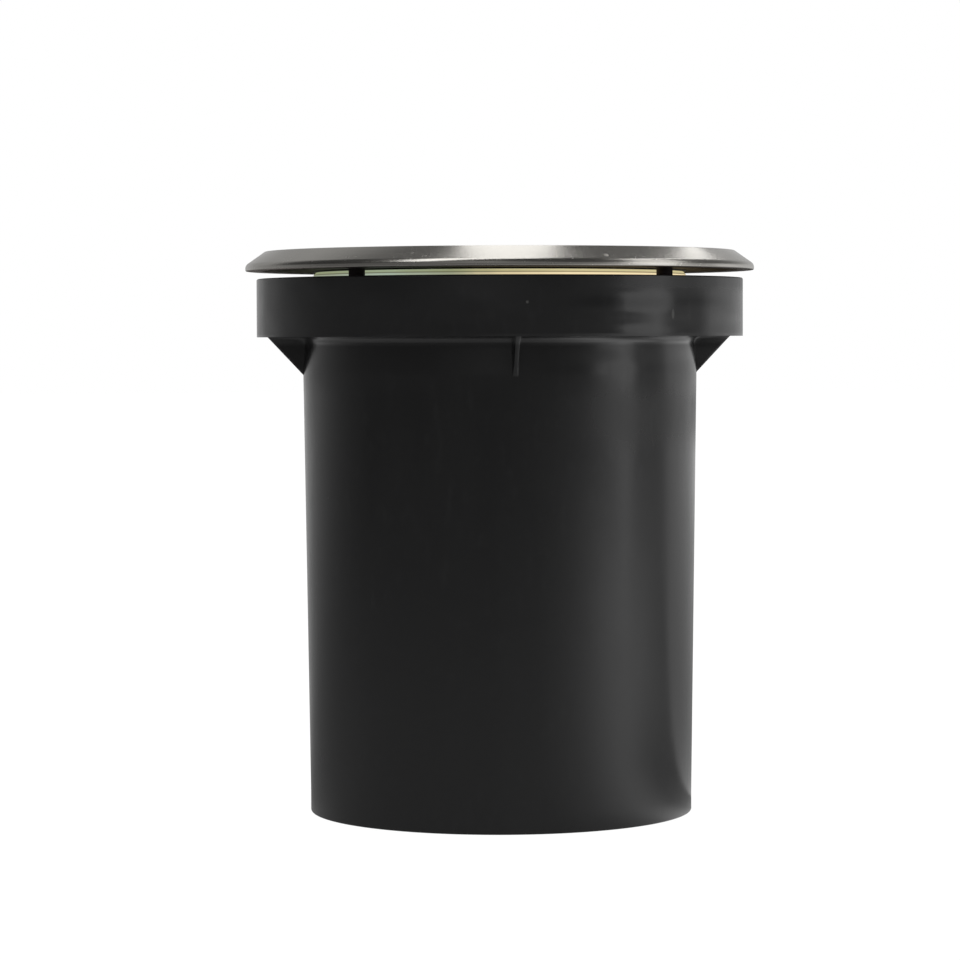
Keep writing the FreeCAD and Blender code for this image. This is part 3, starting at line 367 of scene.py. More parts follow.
def turned_metal(name, colour, roughness, lines, dull_and_shaded_below, worn=0.0, dings=()):
    """Turned metal: fine rings round the upright axis, soft blotches, pits at the nose and dings.

    lines is the rings' scale, worn how deep the pits are. dings are single small knocks, each a
    place in metres and a depth. Below dull_and_shaded_below the metal is unpolished and rough, and
    its colour is a painted shade, near black in the middle, with painted light making it paler at
    the left and right ends.
    """
    def build(shader):
        place = shader.coordinates()
        z = shader.split(place)[2]
        radius = shader.radius(place)
        rings = shader.noise(shader.vector(radius, z, 0.0), lines, 3.0, 0.65)
        blotches = shader.noise(place, 130.0, 3.0)
        pits = shader.ramp(shader.cells(place, 1500.0), [(0.14, 1.0), (0.30, 0.0)])
        chosen = shader.ramp(shader.noise(place, 420.0, 2.0), [(0.44, 0.0), (0.54, 1.0)])
        nose = shader.ramp(radius * 10.0, [(0.515, 0.12), (0.538, 1.0)])
        grit = shader.noise(place, 1700.0, 2.0)
        marks = (0.5 * pits * chosen + 0.8 * grit) * nose * worn
        for ding, strength in dings:
            away = shader.vector_maths("DISTANCE", place, ding, "Value")
            marks = marks + shader.ramp(away * TO_MM, [(0.15, 1.0), (0.6, 0.0)]) * strength
        shade = shader.blend(blotches, shaded(colour, 0.88), colour)
        rough = roughness + 0.08 * (rings - 0.5) + 0.06 * (blotches - 0.5) + 0.10 * marks
        return {"Base Color": shade, "Roughness": rough,
                "Normal": shader.bump(rings - 2.6 * marks, 0.6, STEEL_PITS)}

    def dull(shader):
        place = shader.coordinates()
        x, _, z = shader.split(place)
        soot = shader.noise(place, 500.0, 3.0)
        # painted shade: near black in the middle; painted light makes the left end much paler and
        # the right end a little paler
        middle = (0.022, 0.016, 0.017, 1.0)
        black = shader.ramp(across(x), [(0.04, (0.17, 0.15, 0.14, 1.0)), (0.16, middle),
                                        (0.84, middle), (0.95, (0.075, 0.068, 0.064, 1.0))])
        black = shader.node("ShaderNodeBsdfPrincipled", None, {
            "Base Color": shader.blend(soot * 0.04, black, (0.6, 0.5, 0.5, 1.0)),
            "Roughness": 0.7, "Specular IOR Level": 0.15})
        return shader.ramp((dull_and_shaded_below - z) * TO_MM + 0.5, [(0.42, 0.0), (0.58, 1.0)]), black
    return finish(name, build, dull, Metallic=1.0)


def sheet_metal(name, colour, roughness):
    """Plated sheet: soft cloudy shade and a fine rolled grain."""
    def build(shader):
        place = shader.coordinates()
        clouds = shader.noise(place, 60.0, 4.0, 0.6)
        x, y, z = shader.split(place)
        grain = shader.noise(shader.vector(x * 0.1, y, z), 3000.0, 2.0)
        shade = shader.blend(clouds, shaded(colour, 0.75), colour)
        return {"Base Color": shade, "Roughness": roughness + 0.25 * (clouds - 0.5),
                "Normal": shader.bump(grain, 0.4, 0.00001)}
    return finish(name, build, Metallic=1.0)


def cast_coating(name, colour):
    """Powder-coated casting: an orange-peel skin over a slightly uneven casting."""
    def build(shader):
        place = shader.coordinates()
        peel = shader.noise(place, 900.0, 2.0)
        casting = shader.noise(place, 90.0, 3.0)
        shade = shader.blend(casting, shaded(colour, 0.85), colour)
        return {"Base Color": shade, "Roughness": 0.42 + 0.12 * (casting - 0.5),
                "Normal": shader.bump(peel + casting, 0.5, 0.00004)}
    return finish(name, build)


def plain_moulding(name, colour, roughness):
    """Small mouldings, ceramic and rubber: an even colour with a fine skin."""
    def build(shader):
        place = shader.coordinates()
        skin = shader.noise(place, 600.0, 3.0)
        dirt = shader.noise(place, 70.0, 3.0)
        shade = shader.blend(dirt, shaded(colour, 0.82), colour)
        return {"Base Color": shade, "Roughness": roughness + 0.15 * (dirt - 0.5),
                "Normal": shader.bump(skin, 0.5, 0.00002)}
    return finish(name, build)


def lamp_window(name):
    """Milky diffuser with a trace of the light sources behind it."""
    def build(shader):
        place = shader.coordinates()
        skin = shader.noise(place, 1500.0, 2.0)
        clouds = shader.noise(place, 120.0, 2.0)
        shade = shader.blend(clouds, (0.74, 0.74, 0.70, 1.0), (0.86, 0.86, 0.82, 1.0))
        return {"Base Color": shade, "Roughness": 0.34 + 0.1 * (clouds - 0.5),
                "Normal": shader.bump(skin, 0.3, 0.00001)}
    return finish(name, build, Subsurface_Weight=0.25, Coat_Weight=0.3, Coat_Roughness=0.15)


def edged_glass(name, arris_height):
    """Clear pane. Its ground edge is frosted and carries a painted glow and a painted reflection,
    green on the left, cream on the right, and a painted dark band where the upper arris meets it.
    """
    material, shader = new_material(name)
    place = shader.coordinates()
    x, _, z = shader.split(place)
    mottle = shader.noise(place, 330.0, 3.0)
    # painted reflection: the edge's colour runs by place from green at the left to cream at the
    # right, standing in for light carried through the glass
    tint = shader.ramp(across(x) + 0.08 * (mottle - 0.5), [
        (0.10, (0.30, 0.33, 0.24, 1.0)), (0.24, (0.34, 0.41, 0.33, 1.0)),
        (0.36, (0.29, 0.31, 0.21, 1.0)), (0.47, (0.63, 0.53, 0.32, 1.0)),
        (0.62, (0.84, 0.69, 0.42, 1.0))])
    # painted reflection: the upper arris takes a greener shade of that colour
    upper = shader.blend(0.30, tint, (0.36, 0.42, 0.15, 1.0))
    rise = (z - arris_height) * 1.5 * TO_MM + 0.5
    tint = shader.blend(shader.ramp(rise, [(0.45, 0.0), (0.55, 1.0)]), tint, upper)
    # painted shade: a thin dark band where the upper arris meets the edge
    arris_painted_dark_line = shader.ramp(rise, [(0.22, 1.0), (0.44, 0.30), (0.56, 0.30), (0.80, 0.80)])
    shade = shader.blend(arris_painted_dark_line, (0.05, 0.040, 0.015, 1.0), tint)
    grind = shader.noise(place, 2600.0, 2.0)
    # painted glow: the frosted edge emits its own colour, though the glass is no lamp
    frosted = shader.node("ShaderNodeBsdfPrincipled", None, {
        "Base Color": shade, "Roughness": 0.45, "IOR": 1.52, "Emission Color": shade,
        "Emission Strength": 1.05, "Normal": shader.bump(grind, 0.6, 0.00003)})
    clear = shader.node("ShaderNodeBsdfPrincipled", None, {
        "Base Color": (0.93, 0.98, 0.95, 1.0), "Roughness": 0.01, "IOR": 1.52,
        "Transmission Weight": 1.0})
    edge = shader.ramp(shader.radius(place) * 10.0, [(0.392, 0.0), (0.396, 1.0)])
    surface = shader.node("ShaderNodeMixShader", None, {0: edge, 1: clear, 2: frosted})
    shader.node("ShaderNodeOutputMaterial", None, {"Surface": surface})
    return material


# ---------------------------------------------------------------- settings

FIN_ANGLES = np.radians([-90.0, 0.0, 90.0, 180.0])
SCREW_ANGLES = np.radians([45.0, 135.0, 225.0, 315.0])

# knocks in the bezel: the turn, the part of the bevel from the lip up, and the depth
DINGS = ((math.radians(-70.6), 0.32, 3.0), (math.radians(-113.7), 0.52, 0.6))

# pale marks on the collar: the turn, the height, the radius and how many times taller it is
NICKS = ((math.radians(-88.2), 109.7, 0.32, 1.0), (math.radians(-51.6), 107.3, 0.40, 2.6))

# the finer sizes of the pieces, in millimetres
COLLAR_ROUND, SLEEVE_ROUND, RIM_ROUND = 0.35, 0.3, 0.2
BEZEL_ROUND, WINDOW_ROUND, ARRIS_ROUND = 0.35, 0.15, 0.12
HEAD_EDGE, HEAD_ROUND, HOLE_GAP = 0.25, 0.12, 0.06
SOCKET_HALF_FLATS, SOCKET_DEPTH, SOCKET_POINT = 1.25, 1.2, 1.55
SCREW_LENGTH, SCREW_TIP_RADIUS = 13.2, 1.2
THREAD_DEPTH, THREAD_START, THREAD_END = 0.36, 2.3, 0.55
BAND_WIDTH, BAND_EDGE = 4.0, 0.22
HOLE_SPREAD = math.radians(8.0)

# how many steps the grids have
HOLE_STEPS, BAND_STEPS, PLAIN_STEPS, PATCH_RINGS = 20, 8, 60, 5
SCREW_COLUMNS, GLASS_COLUMNS = 72, 240


def length(name, description, default):
    """A size in millimetres that a user may change."""
    return bpy.props.FloatProperty(name=name, description=description, default=default,
                                   min=0.0, precision=2)


def colour(name, description, default):
    """A surface colour that a user may change."""
    return bpy.props.FloatVectorProperty(name=name, description=description, default=default,
                                         subtype="COLOR", size=4, min=0.0, max=1.0)


class SleeveSettings(bpy.types.PropertyGroup):
    """Sizes in millimetres and colour of the ground sleeve."""
    collar_radius: length("Collar radius", "Outside of the collar", SLEEVE_HIGH[0] / MM)
    height: length("Height", "From the foot to the collar's rim", SLEEVE_HIGH[2] / MM)
    collar_height: length("Collar height", "From the collar's underside to its rim", 12.5)
    wall: length("Wall", "Thickness of tube, ledge and collar", 2.0)
    foot_radius: length("Foot radius", "Outside of the tube at its lower rim", 41.4)
    foot_band: length("Foot band", "Straight band above the lower rim", 4.0)
    tube_radius: length("Tube radius", "Outside of the tube at its widest", 42.6)
    neck_radius: length("Neck radius", "Outside of the tube under the collar", 42.1)
    fillet: length("Fillet", "Hollow fillet under the collar", 1.4)
    gusset_drop: length("Gusset drop", "From the collar down to a gusset's end", 8.2)
    gusset_inset: length("Gusset inset", "From the collar's edge in to a gusset", 2.3)
    gusset_thickness: length("Gusset thickness", "Across a gusset", 1.1)
    tone: colour("Colour", "Black plastic", (0.009, 0.009, 0.0092, 1.0))


class BezelSettings(bpy.types.PropertyGroup):
    """Sizes in millimetres and colour of the bezel and its screws."""
    radius: length("Radius", "Outside of the upright lip", BEZEL_HIGH[0] / MM)
    bottom: length("Bottom", "Height of the underside", BEZEL_LOW[2] / MM)
    top: length("Top", "Height of the flat top", BEZEL_HIGH[2] / MM)
    flat_radius: length("Flat radius", "Where the bevel starts", 50.8)
    lip: length("Lip", "Height of the upright lip", 1.25)
    lip_round: length("Lip rounding", "Radius of the lip's lower edge", 0.25)
    nose_round: length("Nose rounding", "Radius between lip and bevel", 1.3)
    window_radius: length("Window radius", "Inside of the ring", 35.0)
    window_chamfer: length("Window chamfer", "Width of the inner chamfer", 1.0)
    screw_circle: length("Screw circle", "Radius of the circle of screws", SCREW_CIRCLE)
    head_radius: length("Head radius", "Of a countersunk screw head", HEAD_RADIUS)
    shank_radius: length("Shank radius", "Of a screw over its thread", 1.7)
    thread_pitch: length("Thread pitch", "Rise of the thread in one turn", 0.7)
    tone: colour("Colour", "Satin stainless steel", (0.60, 0.580, 0.541, 1.0))


class GlassSettings(bpy.types.PropertyGroup):
    """Sizes in millimetres of the glass."""
    radius: length("Radius", "Outside of the pane", GLASS_HIGH[0] / MM)
    bottom: length("Bottom", "Height of the lower face", GLASS_LOW[2] / MM)
    top: length("Top", "Height of the upper face", GLASS_HIGH[2] / MM)
    arris: length("Arris", "Width of the ground edges", 0.6)


class StudioSettings(bpy.types.PropertyGroup):
    """Where the camera stands and how bright the studio is."""
    azimuth: bpy.props.FloatProperty(name="Azimuth", description="Camera's turn to the left",
                                     default=math.radians(4.3), subtype="ANGLE")
    distance: bpy.props.FloatProperty(name="Distance", description="From axis to camera",
                                      default=0.75, subtype="DISTANCE", unit="LENGTH")
    height: bpy.props.FloatProperty(name="Height", description="Of the camera",
                                    default=0.102, subtype="DISTANCE", unit="LENGTH")
    lens: bpy.props.FloatProperty(name="Lens", description="Focal length in millimetres",
                                  default=129.5, min=1.0)
    white: bpy.props.FloatProperty(name="Background", description="Brightness of the backdrop",
                                   default=1.0, min=0.0)
    fill: bpy.props.FloatProperty(name="Fill", description="Even light from all round",
                                  default=0.6, min=0.0)


class WellLightSettings(bpy.types.PropertyGroup):
    """All settings of the light and its studio."""
    sleeve: bpy.props.PointerProperty(type=SleeveSettings)
    bezel: bpy.props.PointerProperty(type=BezelSettings)
    glass: bpy.props.PointerProperty(type=GlassSettings)
    studio: bpy.props.PointerProperty(type=StudioSettings)


# ---------------------------------------------------------------- sleeve


def sleeve_skin(s):
    """The whole sleeve as one surface over angle and way round the wall's section.

    Every column of points is one section of the wall. Between gussets it is the plain section.
    Over a gusset it runs straight from the tube to the collar's underside, and across the
    gusset's side the two are blended by a weight that rises with the distance in from the side.
    """
    underside = s.height - s.collar_height
    ledge = underside + s.wall
    inner_collar = s.collar_radius - s.wall
    gusset_foot = underside - s.gusset_drop
    gusset_reach = s.collar_radius - s.gusset_inset
    tube = np.stack([np.linspace(s.foot_radius, s.tube_radius, 20),
                     np.linspace(s.foot_band, gusset_foot, 20)], axis=1)
    neck_top = underside - s.fillet
    neck = np.stack([np.linspace(s.tube_radius, s.neck_radius, 10),
                     np.linspace(gusset_foot, neck_top, 10)], axis=1)[1:]
    swing = np.linspace(np.pi, np.pi / 2, 9)[1:]
    fillet = np.stack([s.neck_radius + s.fillet + s.fillet * np.cos(swing),
                       neck_top + s.fillet * np.sin(swing)], axis=1)
    under = np.stack([np.linspace(fillet[-1, 0], gusset_reach, 8)[1:],
                      np.full(7, underside)], axis=1)
    upper = rounded([
        (s.collar_radius, underside, COLLAR_ROUND), (s.collar_radius, s.height, COLLAR_ROUND),
        (inner_collar, s.height, RIM_ROUND), (inner_collar, ledge, SLEEVE_ROUND),
        (s.neck_radius - s.wall, ledge, SLEEVE_ROUND),
        (s.neck_radius - s.wall, neck_top, SLEEVE_ROUND),
        (s.tube_radius - s.wall, gusset_foot, SLEEVE_ROUND),
        (s.foot_radius - s.wall, s.foot_band, SLEEVE_ROUND),
        (s.foot_radius - s.wall, 0.0, RIM_ROUND), (s.foot_radius, 0.0, COLLAR_ROUND),
        (s.foot_radius, s.foot_band, 0.0)])[:-6]
    plain = np.concatenate([tube, neck, fillet, under, upper])
    first, last = len(tube) - 1, len(tube) + len(neck) + len(fillet) + len(under) - 1
    along = np.linspace(0, 1, last - first + 1)[:, None]
    over = plain.copy()
    over[first:last + 1] = plain[first] * (1 - along) + plain[last] * along
    half = s.gusset_thickness / 2
    side = half * np.array([3.4, 1.9, 1.45, 1.2, 1.06, 1.0, 0.97, 0.90, 0.76, 0.5])
    rise = np.array([0.0, 0.0, 0.012, 0.045, 0.12, 0.25, 0.90, 0.965, 0.992, 1.0])
    offset = np.concatenate([side, [0.0], -side[::-1]])
    weight = np.concatenate([rise, [1.0], rise[::-1]])
    gap = side[0] / s.tube_radius
    between = np.linspace(gap, np.pi / 2 - gap, 64)[1:-1]
    angle = np.concatenate([np.concatenate([np.full(offset.size, fin), fin + between])
                            for fin in FIN_ANGLES])
    shift = np.tile(np.concatenate([-offset, np.zeros(between.size)]), len(FIN_ANGLES))
    weight = np.tile(np.concatenate([weight, np.zeros(between.size)]), len(FIN_ANGLES))
    section = plain[None] * (1 - weight[:, None, None]) + over[None] * weight[:, None, None]
    ahead = np.sqrt(section[..., 0] ** 2 - shift[:, None] ** 2)
    cosine, sine = np.cos(angle)[:, None], np.sin(angle)[:, None]
    grid = np.stack([ahead * cosine - shift[:, None] * sine,
                     ahead * sine + shift[:, None] * cosine, section[..., 1]], axis=-1)
    return Skin().add(grid, True, True)


# ---------------------------------------------------------------- bezel and screws


def hole_patch(middle, hole, low, high, spread, height, turn):
    """A flat patch of a ring round a hole, in rings from the hole out to the patch's border.

    The border runs along the outer arc, the two radial sides and the inner arc. Each point of
    the hole's edge lies in the direction of its border point, and the rings blend the two.
    """
    arc = np.linspace(-spread, spread, HOLE_STEPS + 1)
    side = np.linspace(low, high, BAND_STEPS + 1)
    radius = np.concatenate([np.full(HOLE_STEPS, high), side[:0:-1],
                             np.full(HOLE_STEPS, low), side[:-1]])
    angle = np.concatenate([arc[:-1], np.full(BAND_STEPS, spread),
                            arc[:0:-1], np.full(BAND_STEPS, -spread)])
    border = np.stack([radius * np.cos(angle), radius * np.sin(angle)], axis=1)
    away = border - (middle, 0.0)
    edge = (middle, 0.0) + hole * away / np.linalg.norm(away, axis=1, keepdims=True)
    part = np.linspace(0, 1, PATCH_RINGS)[:, None, None]
    flat = edge * (1 - part) + border * part
    x = flat[..., 0] * math.cos(turn) - flat[..., 1] * math.sin(turn)
    y = flat[..., 0] * math.sin(turn) + flat[..., 1] * math.cos(turn)
    return np.stack([x, y, np.full_like(x, height)], axis=-1)


def bezel_skin(s):
    """A turned ring whose screw holes are cut out of a band of its flat faces."""
    band_low, band_high = s.screw_circle - BAND_WIDTH, s.flat_radius - BAND_EDGE
    spread = HOLE_SPREAD
    gap = np.pi / 2 - 2 * spread
    start = SCREW_ANGLES[:, None] - spread
    fine = start + np.linspace(0, 2 * spread, HOLE_STEPS + 1)[None]
    coarse = start + 2 * spread + np.linspace(0, gap, PLAIN_STEPS + 1)[None, 1:-1]
    angle = np.concatenate([fine, coarse], axis=1).reshape(-1)
    outside = rounded([
        (band_high, s.bottom, 0.0), (s.radius, s.bottom, s.lip_round),
        (s.radius, s.bottom + s.lip, s.nose_round), (s.flat_radius, s.top, BEZEL_ROUND),
        (band_high, s.top, 0.0)], 8)
    inside = rounded([
        (band_low, s.top, 0.0), (s.window_radius + s.window_chamfer, s.top, WINDOW_ROUND),
        (s.window_radius, s.top - s.window_chamfer, WINDOW_ROUND),
        (s.window_radius, s.bottom, 0.1), (band_low, s.bottom, 0.0)], 4)
    skin = Skin()
    for outline in (outside, inside):
        skin.add(turned(outline, angle), wrap_rows=True)
    side = np.linspace(band_low, band_high, BAND_STEPS + 1)
    hole, sink = s.shank_radius + HOLE_GAP, s.head_radius + HOLE_GAP
    sink_top = s.top - HEAD_EDGE
    levels = ((s.top, sink), (sink_top, sink), (sink_top - (sink - hole), hole), (s.bottom, hole))
    for turn in SCREW_ANGLES:
        plain = turn + spread + np.linspace(0, gap, PLAIN_STEPS + 1)
        for height in (s.top, s.bottom):
            skin.add(turned(np.stack([side, np.full_like(side, height)], axis=1), plain))
        rings = [hole_patch(s.screw_circle, radius, band_low, band_high, spread, height, turn)
                 for height, radius in levels]
        skin.add(rings[0], wrap_columns=True)
        skin.add(rings[-1], wrap_columns=True)
        skin.add(np.stack([ring[0] for ring in rings]), wrap_columns=True)
    return skin


def hexagon_radius(angle, half_flats):
    """Distance to a hexagon's side at an angle: half the width across flats over a cosine."""
    return half_flats / np.cos((angle + np.pi / 6) % (np.pi / 3) - np.pi / 6)


def add_screw(skin, s, turn):
    """A countersunk screw: rows run from the socket's floor over the head and down the shank.

    The thread's radius swings between root and crest with height / pitch - angle / full turn.
    """
    angle = np.linspace(0, 2 * np.pi, SCREW_COLUMNS, endpoint=False)
    socket = hexagon_radius(angle, SOCKET_HALF_FLATS)
    tip = s.top - SCREW_LENGTH
    cone_bottom = s.top - HEAD_EDGE - (s.head_radius - s.shank_radius)
    head = [(0.0, s.top - SOCKET_POINT), (0.55, s.top - SOCKET_DEPTH),
            (socket - 0.02, s.top - SOCKET_DEPTH), (socket, s.top - 0.06),
            (socket + 0.08, s.top), (s.head_radius - HEAD_ROUND, s.top),
            (s.head_radius, s.top - HEAD_ROUND), (s.head_radius, s.top - HEAD_EDGE),
            (s.shank_radius, cone_bottom), (s.shank_radius, s.bottom - 2.1)]
    height = np.arange(s.bottom - THREAD_START, tip + THREAD_END, -s.thread_pitch / 10)
    phase = height[:, None] / s.thread_pitch - angle[None] / (2 * np.pi)
    swell = 0.5 + 0.5 * np.cos(2 * np.pi * phase)
    thread = s.shank_radius - THREAD_DEPTH + THREAD_DEPTH * np.clip(1.5 * swell, 0, 1)
    rows = [np.broadcast_to(radius, angle.shape) for radius, _ in head]
    rows += list(thread) + [np.full_like(angle, SCREW_TIP_RADIUS), np.zeros_like(angle)]
    heights = np.array([level for _, level in head] + list(height) + [tip, tip])
    radius = np.stack(rows)
    x = s.screw_circle * math.cos(turn) + radius * np.cos(angle)
    y = s.screw_circle * math.sin(turn) + radius * np.sin(angle)
    skin.add(np.stack([x, y, np.broadcast_to(heights[:, None], x.shape)], axis=-1),
             wrap_columns=True)


# ---------------------------------------------------------------- operators


def dress(piece, material, body, slot, *nodes):
    """Give a piece its finish and its body, and hide the nodes that it replaces. The slot is not
    used.
    """
    piece.data.materials.append(material)
    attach(piece, body)
    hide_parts(*nodes)


def repaint(material, *nodes):
    """Give CAD nodes a finish."""
    for node in nodes:
        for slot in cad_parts[node].material_slots:
            slot.material = material


class SleeveOperator(bpy.types.Operator):
    """Make the black ground sleeve"""
    bl_idname = "well_light.sleeve"
    bl_label = "Ground sleeve"

    def execute(self, context):
        s = context.scene.well_light.sleeve
        nicks = [(on_circle(s.collar_radius, turn, height), radius, tall)
                 for turn, height, radius, tall in NICKS]
        material = moulded_plastic("black_sleeve", tuple(s.tone), sheen=0.17,
                                   underside=(s.height - s.collar_height) * MM, nicks=nicks)
        dress(sleeve_skin(s).piece("sleeve_moulding"), material, "sleeve",
              "sleeve_plastic", "ground_sleeve")
        return {"FINISHED"}


class BezelOperator(bpy.types.Operator):
    """Make the turned bezel and its four screws"""
    bl_idname = "well_light.bezel"
    bl_label = "Bezel and screws"

    def execute(self, context):
        s = context.scene.well_light.bezel
        bevel_height = s.top - s.bottom - s.lip
        dings = []
        for turn, part, strength in DINGS:
            radius = s.radius - part * (s.radius - s.flat_radius)
            height = s.bottom + s.lip + part * bevel_height
            dings.append((on_circle(radius, turn, height), strength))
        # painted shade: below 0.1 mm above the underside the steel takes the dark painted colour
        steel = turned_metal("satin_bezel", tuple(s.tone), roughness=0.19, lines=5200.0,
                             dull_and_shaded_below=(s.bottom + 0.10) * MM, worn=1.0, dings=dings)
        dress(bezel_skin(s).piece("bezel_turning"), steel, "cover", "bezel_steel", "bezel_ring")
        screws = Skin()
        for turn in SCREW_ANGLES:
            add_screw(screws, s, turn)
        # painted shade: below the bezel's underside the screw shanks take the dark painted colour
        plain = turned_metal("screw_steel_painted_shade_shank", (0.55, 0.54, 0.53, 1.0), roughness=0.30,
                             lines=3000.0, dull_and_shaded_below=(s.bottom + 0.5) * MM)
        dress(screws.piece("bezel_screw_set"), plain, "cover", "screw_steel", "bezel_screws")
        return {"FINISHED"}


class GlassOperator(bpy.types.Operator):
    """Make the glass and finish its seals"""
    bl_idname = "well_light.glass"
    bl_label = "Glass and seals"

    def execute(self, context):
        s = context.scene.well_light.glass
        rim = rounded([
            (0.0, s.bottom, 0.0), (s.radius - s.arris, s.bottom, ARRIS_ROUND),
            (s.radius, s.bottom + s.arris, ARRIS_ROUND),
            (s.radius, s.top - s.arris, ARRIS_ROUND),
            (s.radius - s.arris, s.top, ARRIS_ROUND), (0.0, s.top, 0.0)], 4)[5:-4]
        angle = np.linspace(0, 2 * np.pi, GLASS_COLUMNS, endpoint=False)
        pane = Skin().add(turned(rim, angle), wrap_rows=True).piece("glass_pane", 60.0)
        material = edged_glass("clear_ground_glass", (s.top - s.arris) * MM)
        dress(pane, material, "cover", "clear_glass", "glass_lens")
        repaint(plain_moulding("silicone_seal", (0.030, 0.030, 0.031, 1.0), 0.55),
                "glass_gasket", "bezel_seal")
        return {"FINISHED"}


class InsideOperator(bpy.types.Operator):
    """Finish the housing, the lamp and everything else inside and below"""
    bl_idname = "well_light.inside"
    bl_label = "Housing, lamp and glands"

    def execute(self, context):
        repaint(cast_coating("cast_grey", (0.30, 0.30, 0.29, 1.0)), "lamp_housing")
        repaint(sheet_metal("zinc_plate", (0.62, 0.62, 0.60, 1.0), 0.36), "holder_bracket",
                "lamp_cradle", "bracket_screws", "pivot_rivets", "pivot_washers", "holder_screws")
        brass = sheet_metal("brass_parts", (0.80, 0.60, 0.28, 1.0), 0.30)
        repaint(brass, "holder_contacts", "terminal_pillars", "terminal_screws",
                "earth_washer", "earth_screw", "terminal_fixing_screws")
        repaint(plain_moulding("cream_ceramic", (0.80, 0.76, 0.68, 1.0), 0.30), "lampholder")
        repaint(plain_moulding("white_lamp_plastic", (0.78, 0.77, 0.74, 1.0), 0.42),
                "lamp_cap", "lamp_body")
        repaint(sheet_metal("tinned_pins", (0.70, 0.69, 0.66, 1.0), 0.28), "lamp_pins")
        repaint(plain_moulding("white_board", (0.75, 0.76, 0.74, 1.0), 0.40), "led_board")
        repaint(plain_moulding("yellow_phosphor", (0.88, 0.70, 0.16, 1.0), 0.5), "led_chips")
        repaint(lamp_window("milky_window"), "lamp_lens")
        repaint(plain_moulding("terminal_moulding", (0.70, 0.69, 0.64, 1.0), 0.42),
                "terminal_block")
        nylon = plain_moulding("black_nylon", (0.020, 0.020, 0.021, 1.0), 0.40)
        rubber = plain_moulding("black_rubber", (0.016, 0.016, 0.016, 1.0), 0.65)
        for side in ("left", "right"):
            repaint(nylon, "gland_body_" + side, "gland_dome_" + side, "gland_locknut_" + side)
            repaint(rubber, "gland_washer_" + side, "gland_grip_" + side)
        return {"FINISHED"}


# ---------------------------------------------------------------- studio

# each lamp as the camera looks: place, aim, width, height, power and roll in degrees
LAMPS = (
    ("middle_lamp", (0.026, 0.425, 1.02), (0.026, 0.425, 0), 0.272, 1.35, 1.80, 0.0),
    ("left_lamp", (-0.55, -0.64, 1.02), (-0.55, -0.64, 0), 0.36, 1.5, 3.2, -41),
    ("right_lamp", (0.615, 0.75, 1.02), (0.615, 0.75, 0), 0.120, 1.4, 0.92, 0.0),
    ("side_lamp", (1.02, -0.13, 0.87), (0, -0.13, 0.87), 0.56, 1.7, 3.2, -22),
)

# the small angles in degrees by which the camera looks past the axis
CAMERA_YAW, CAMERA_PITCH, CAMERA_ROLL = 0.335, 2.317, -0.19

# the floor: half its side in metres, its glow against the backdrop's, the share of its look that
# glows (the rest is paper, which keeps the shadow), and how much darker than the room it mirrors
FLOOR_HALF, FLOOR_GLOW, FLOOR_GLOW_SHARE, FLOOR_DIP = 6, 1.1, 0.88, 0.30


def ray_kinds(shader):
    """Rays that look straight or through glass, and rays that a shiny surface sends out."""
    rays = shader.node("ShaderNodeLightPath").socket.node.outputs
    through = Value(shader, rays["Is Transmission Ray"])
    seen = Value(shader, rays["Is Camera Ray"]) + through
    glossy = Value(shader, rays["Is Glossy Ray"]) * (1 - through)
    return seen, glossy


def as_seen(shader, direction, azimuth):
    """A direction's parts to the camera's right and back and up, its depth and its right side.

    Depth runs from 0 at the front to 1 behind. The right side fades in from 0 to 1.
    """
    x, y, z = shader.split(shader.node("ShaderNodeVectorRotate", {"rotation_type": "Z_AXIS"},
                                       {"Vector": direction, "Angle": azimuth}))
    return z, y * 0.5 + 0.5, shader.ramp(x * 0.5 + 0.5, [(0.47, 0.0), (0.53, 1.0)])


def room_level(shader, z, depth, side):
    """Brightness of the room in a direction.

    Level with the light, the left side rises slowly from front to back, and on the right a pale
    card behind starts at a sharp edge. Higher up only the wall behind stays lit.
    """
    left = shader.ramp(depth, [(0.0, 0.17), (0.45, 0.16), (0.65, 0.22), (0.88, 0.33), (1.0, 0.55)])
    right = shader.ramp(depth, [
        (0.0, 0.17), (0.10, 0.24), (0.28, 0.42), (0.50, 0.45), (0.62, 0.40), (0.678, 0.41),
        (0.700, 0.80), (0.90, 0.60), (1.0, 0.55)])
    left_above = shader.ramp(depth, [
        (0.0, 0.38), (0.05, 0.22), (0.14, 0.06), (0.50, 0.03), (0.70, 0.055), (0.725, 0.10),
        (0.755, 0.19), (0.775, 0.27), (0.80, 0.32), (0.825, 0.365), (0.86, 0.385), (0.915, 0.335),
        (0.97, 0.42), (1.0, 0.50)])
    right_above = shader.ramp(depth, [
        (0.0, 0.34), (0.04, 0.12), (0.10, 0.05), (0.50, 0.035), (0.69, 0.085), (0.735, 0.125),
        (0.79, 0.135), (0.833, 0.17), (0.88, 0.26),
        (0.909, 0.36), (0.938, 0.43), (0.968, 0.49), (1.0, 0.56)])
    high = shader.ramp(z, [(0.08, 0.0), (0.24, 1.0)])
    level = left * (1 - side) + right * side
    above = left_above * (1 - side) + right_above * side
    return level * (1 - high) + above * high


def lamp_panel(azimuth, name, place, towards, width, height, power, roll):
    """A rectangular soft light that faces a point, both placed as the camera looks.

    roll turns it about the way it faces, in degrees.
    """
    light = bpy.data.lights.new(name, "AREA")
    light.shape = "RECTANGLE"
    light.size, light.size_y, light.energy = width, height, power
    panel = bpy.data.objects.new(name, light)
    turn = Matrix.Rotation(-azimuth, 3, "Z")
    aim = (Vector(towards) - Vector(place)).to_track_quat("-Z", "Y").to_matrix()
    aim = aim @ Matrix.Rotation(math.radians(roll), 3, "Z")
    panel.location = turn @ Vector(place)
    panel.rotation_euler = (turn @ aim).to_euler()
    bpy.context.scene.collection.objects.link(panel)


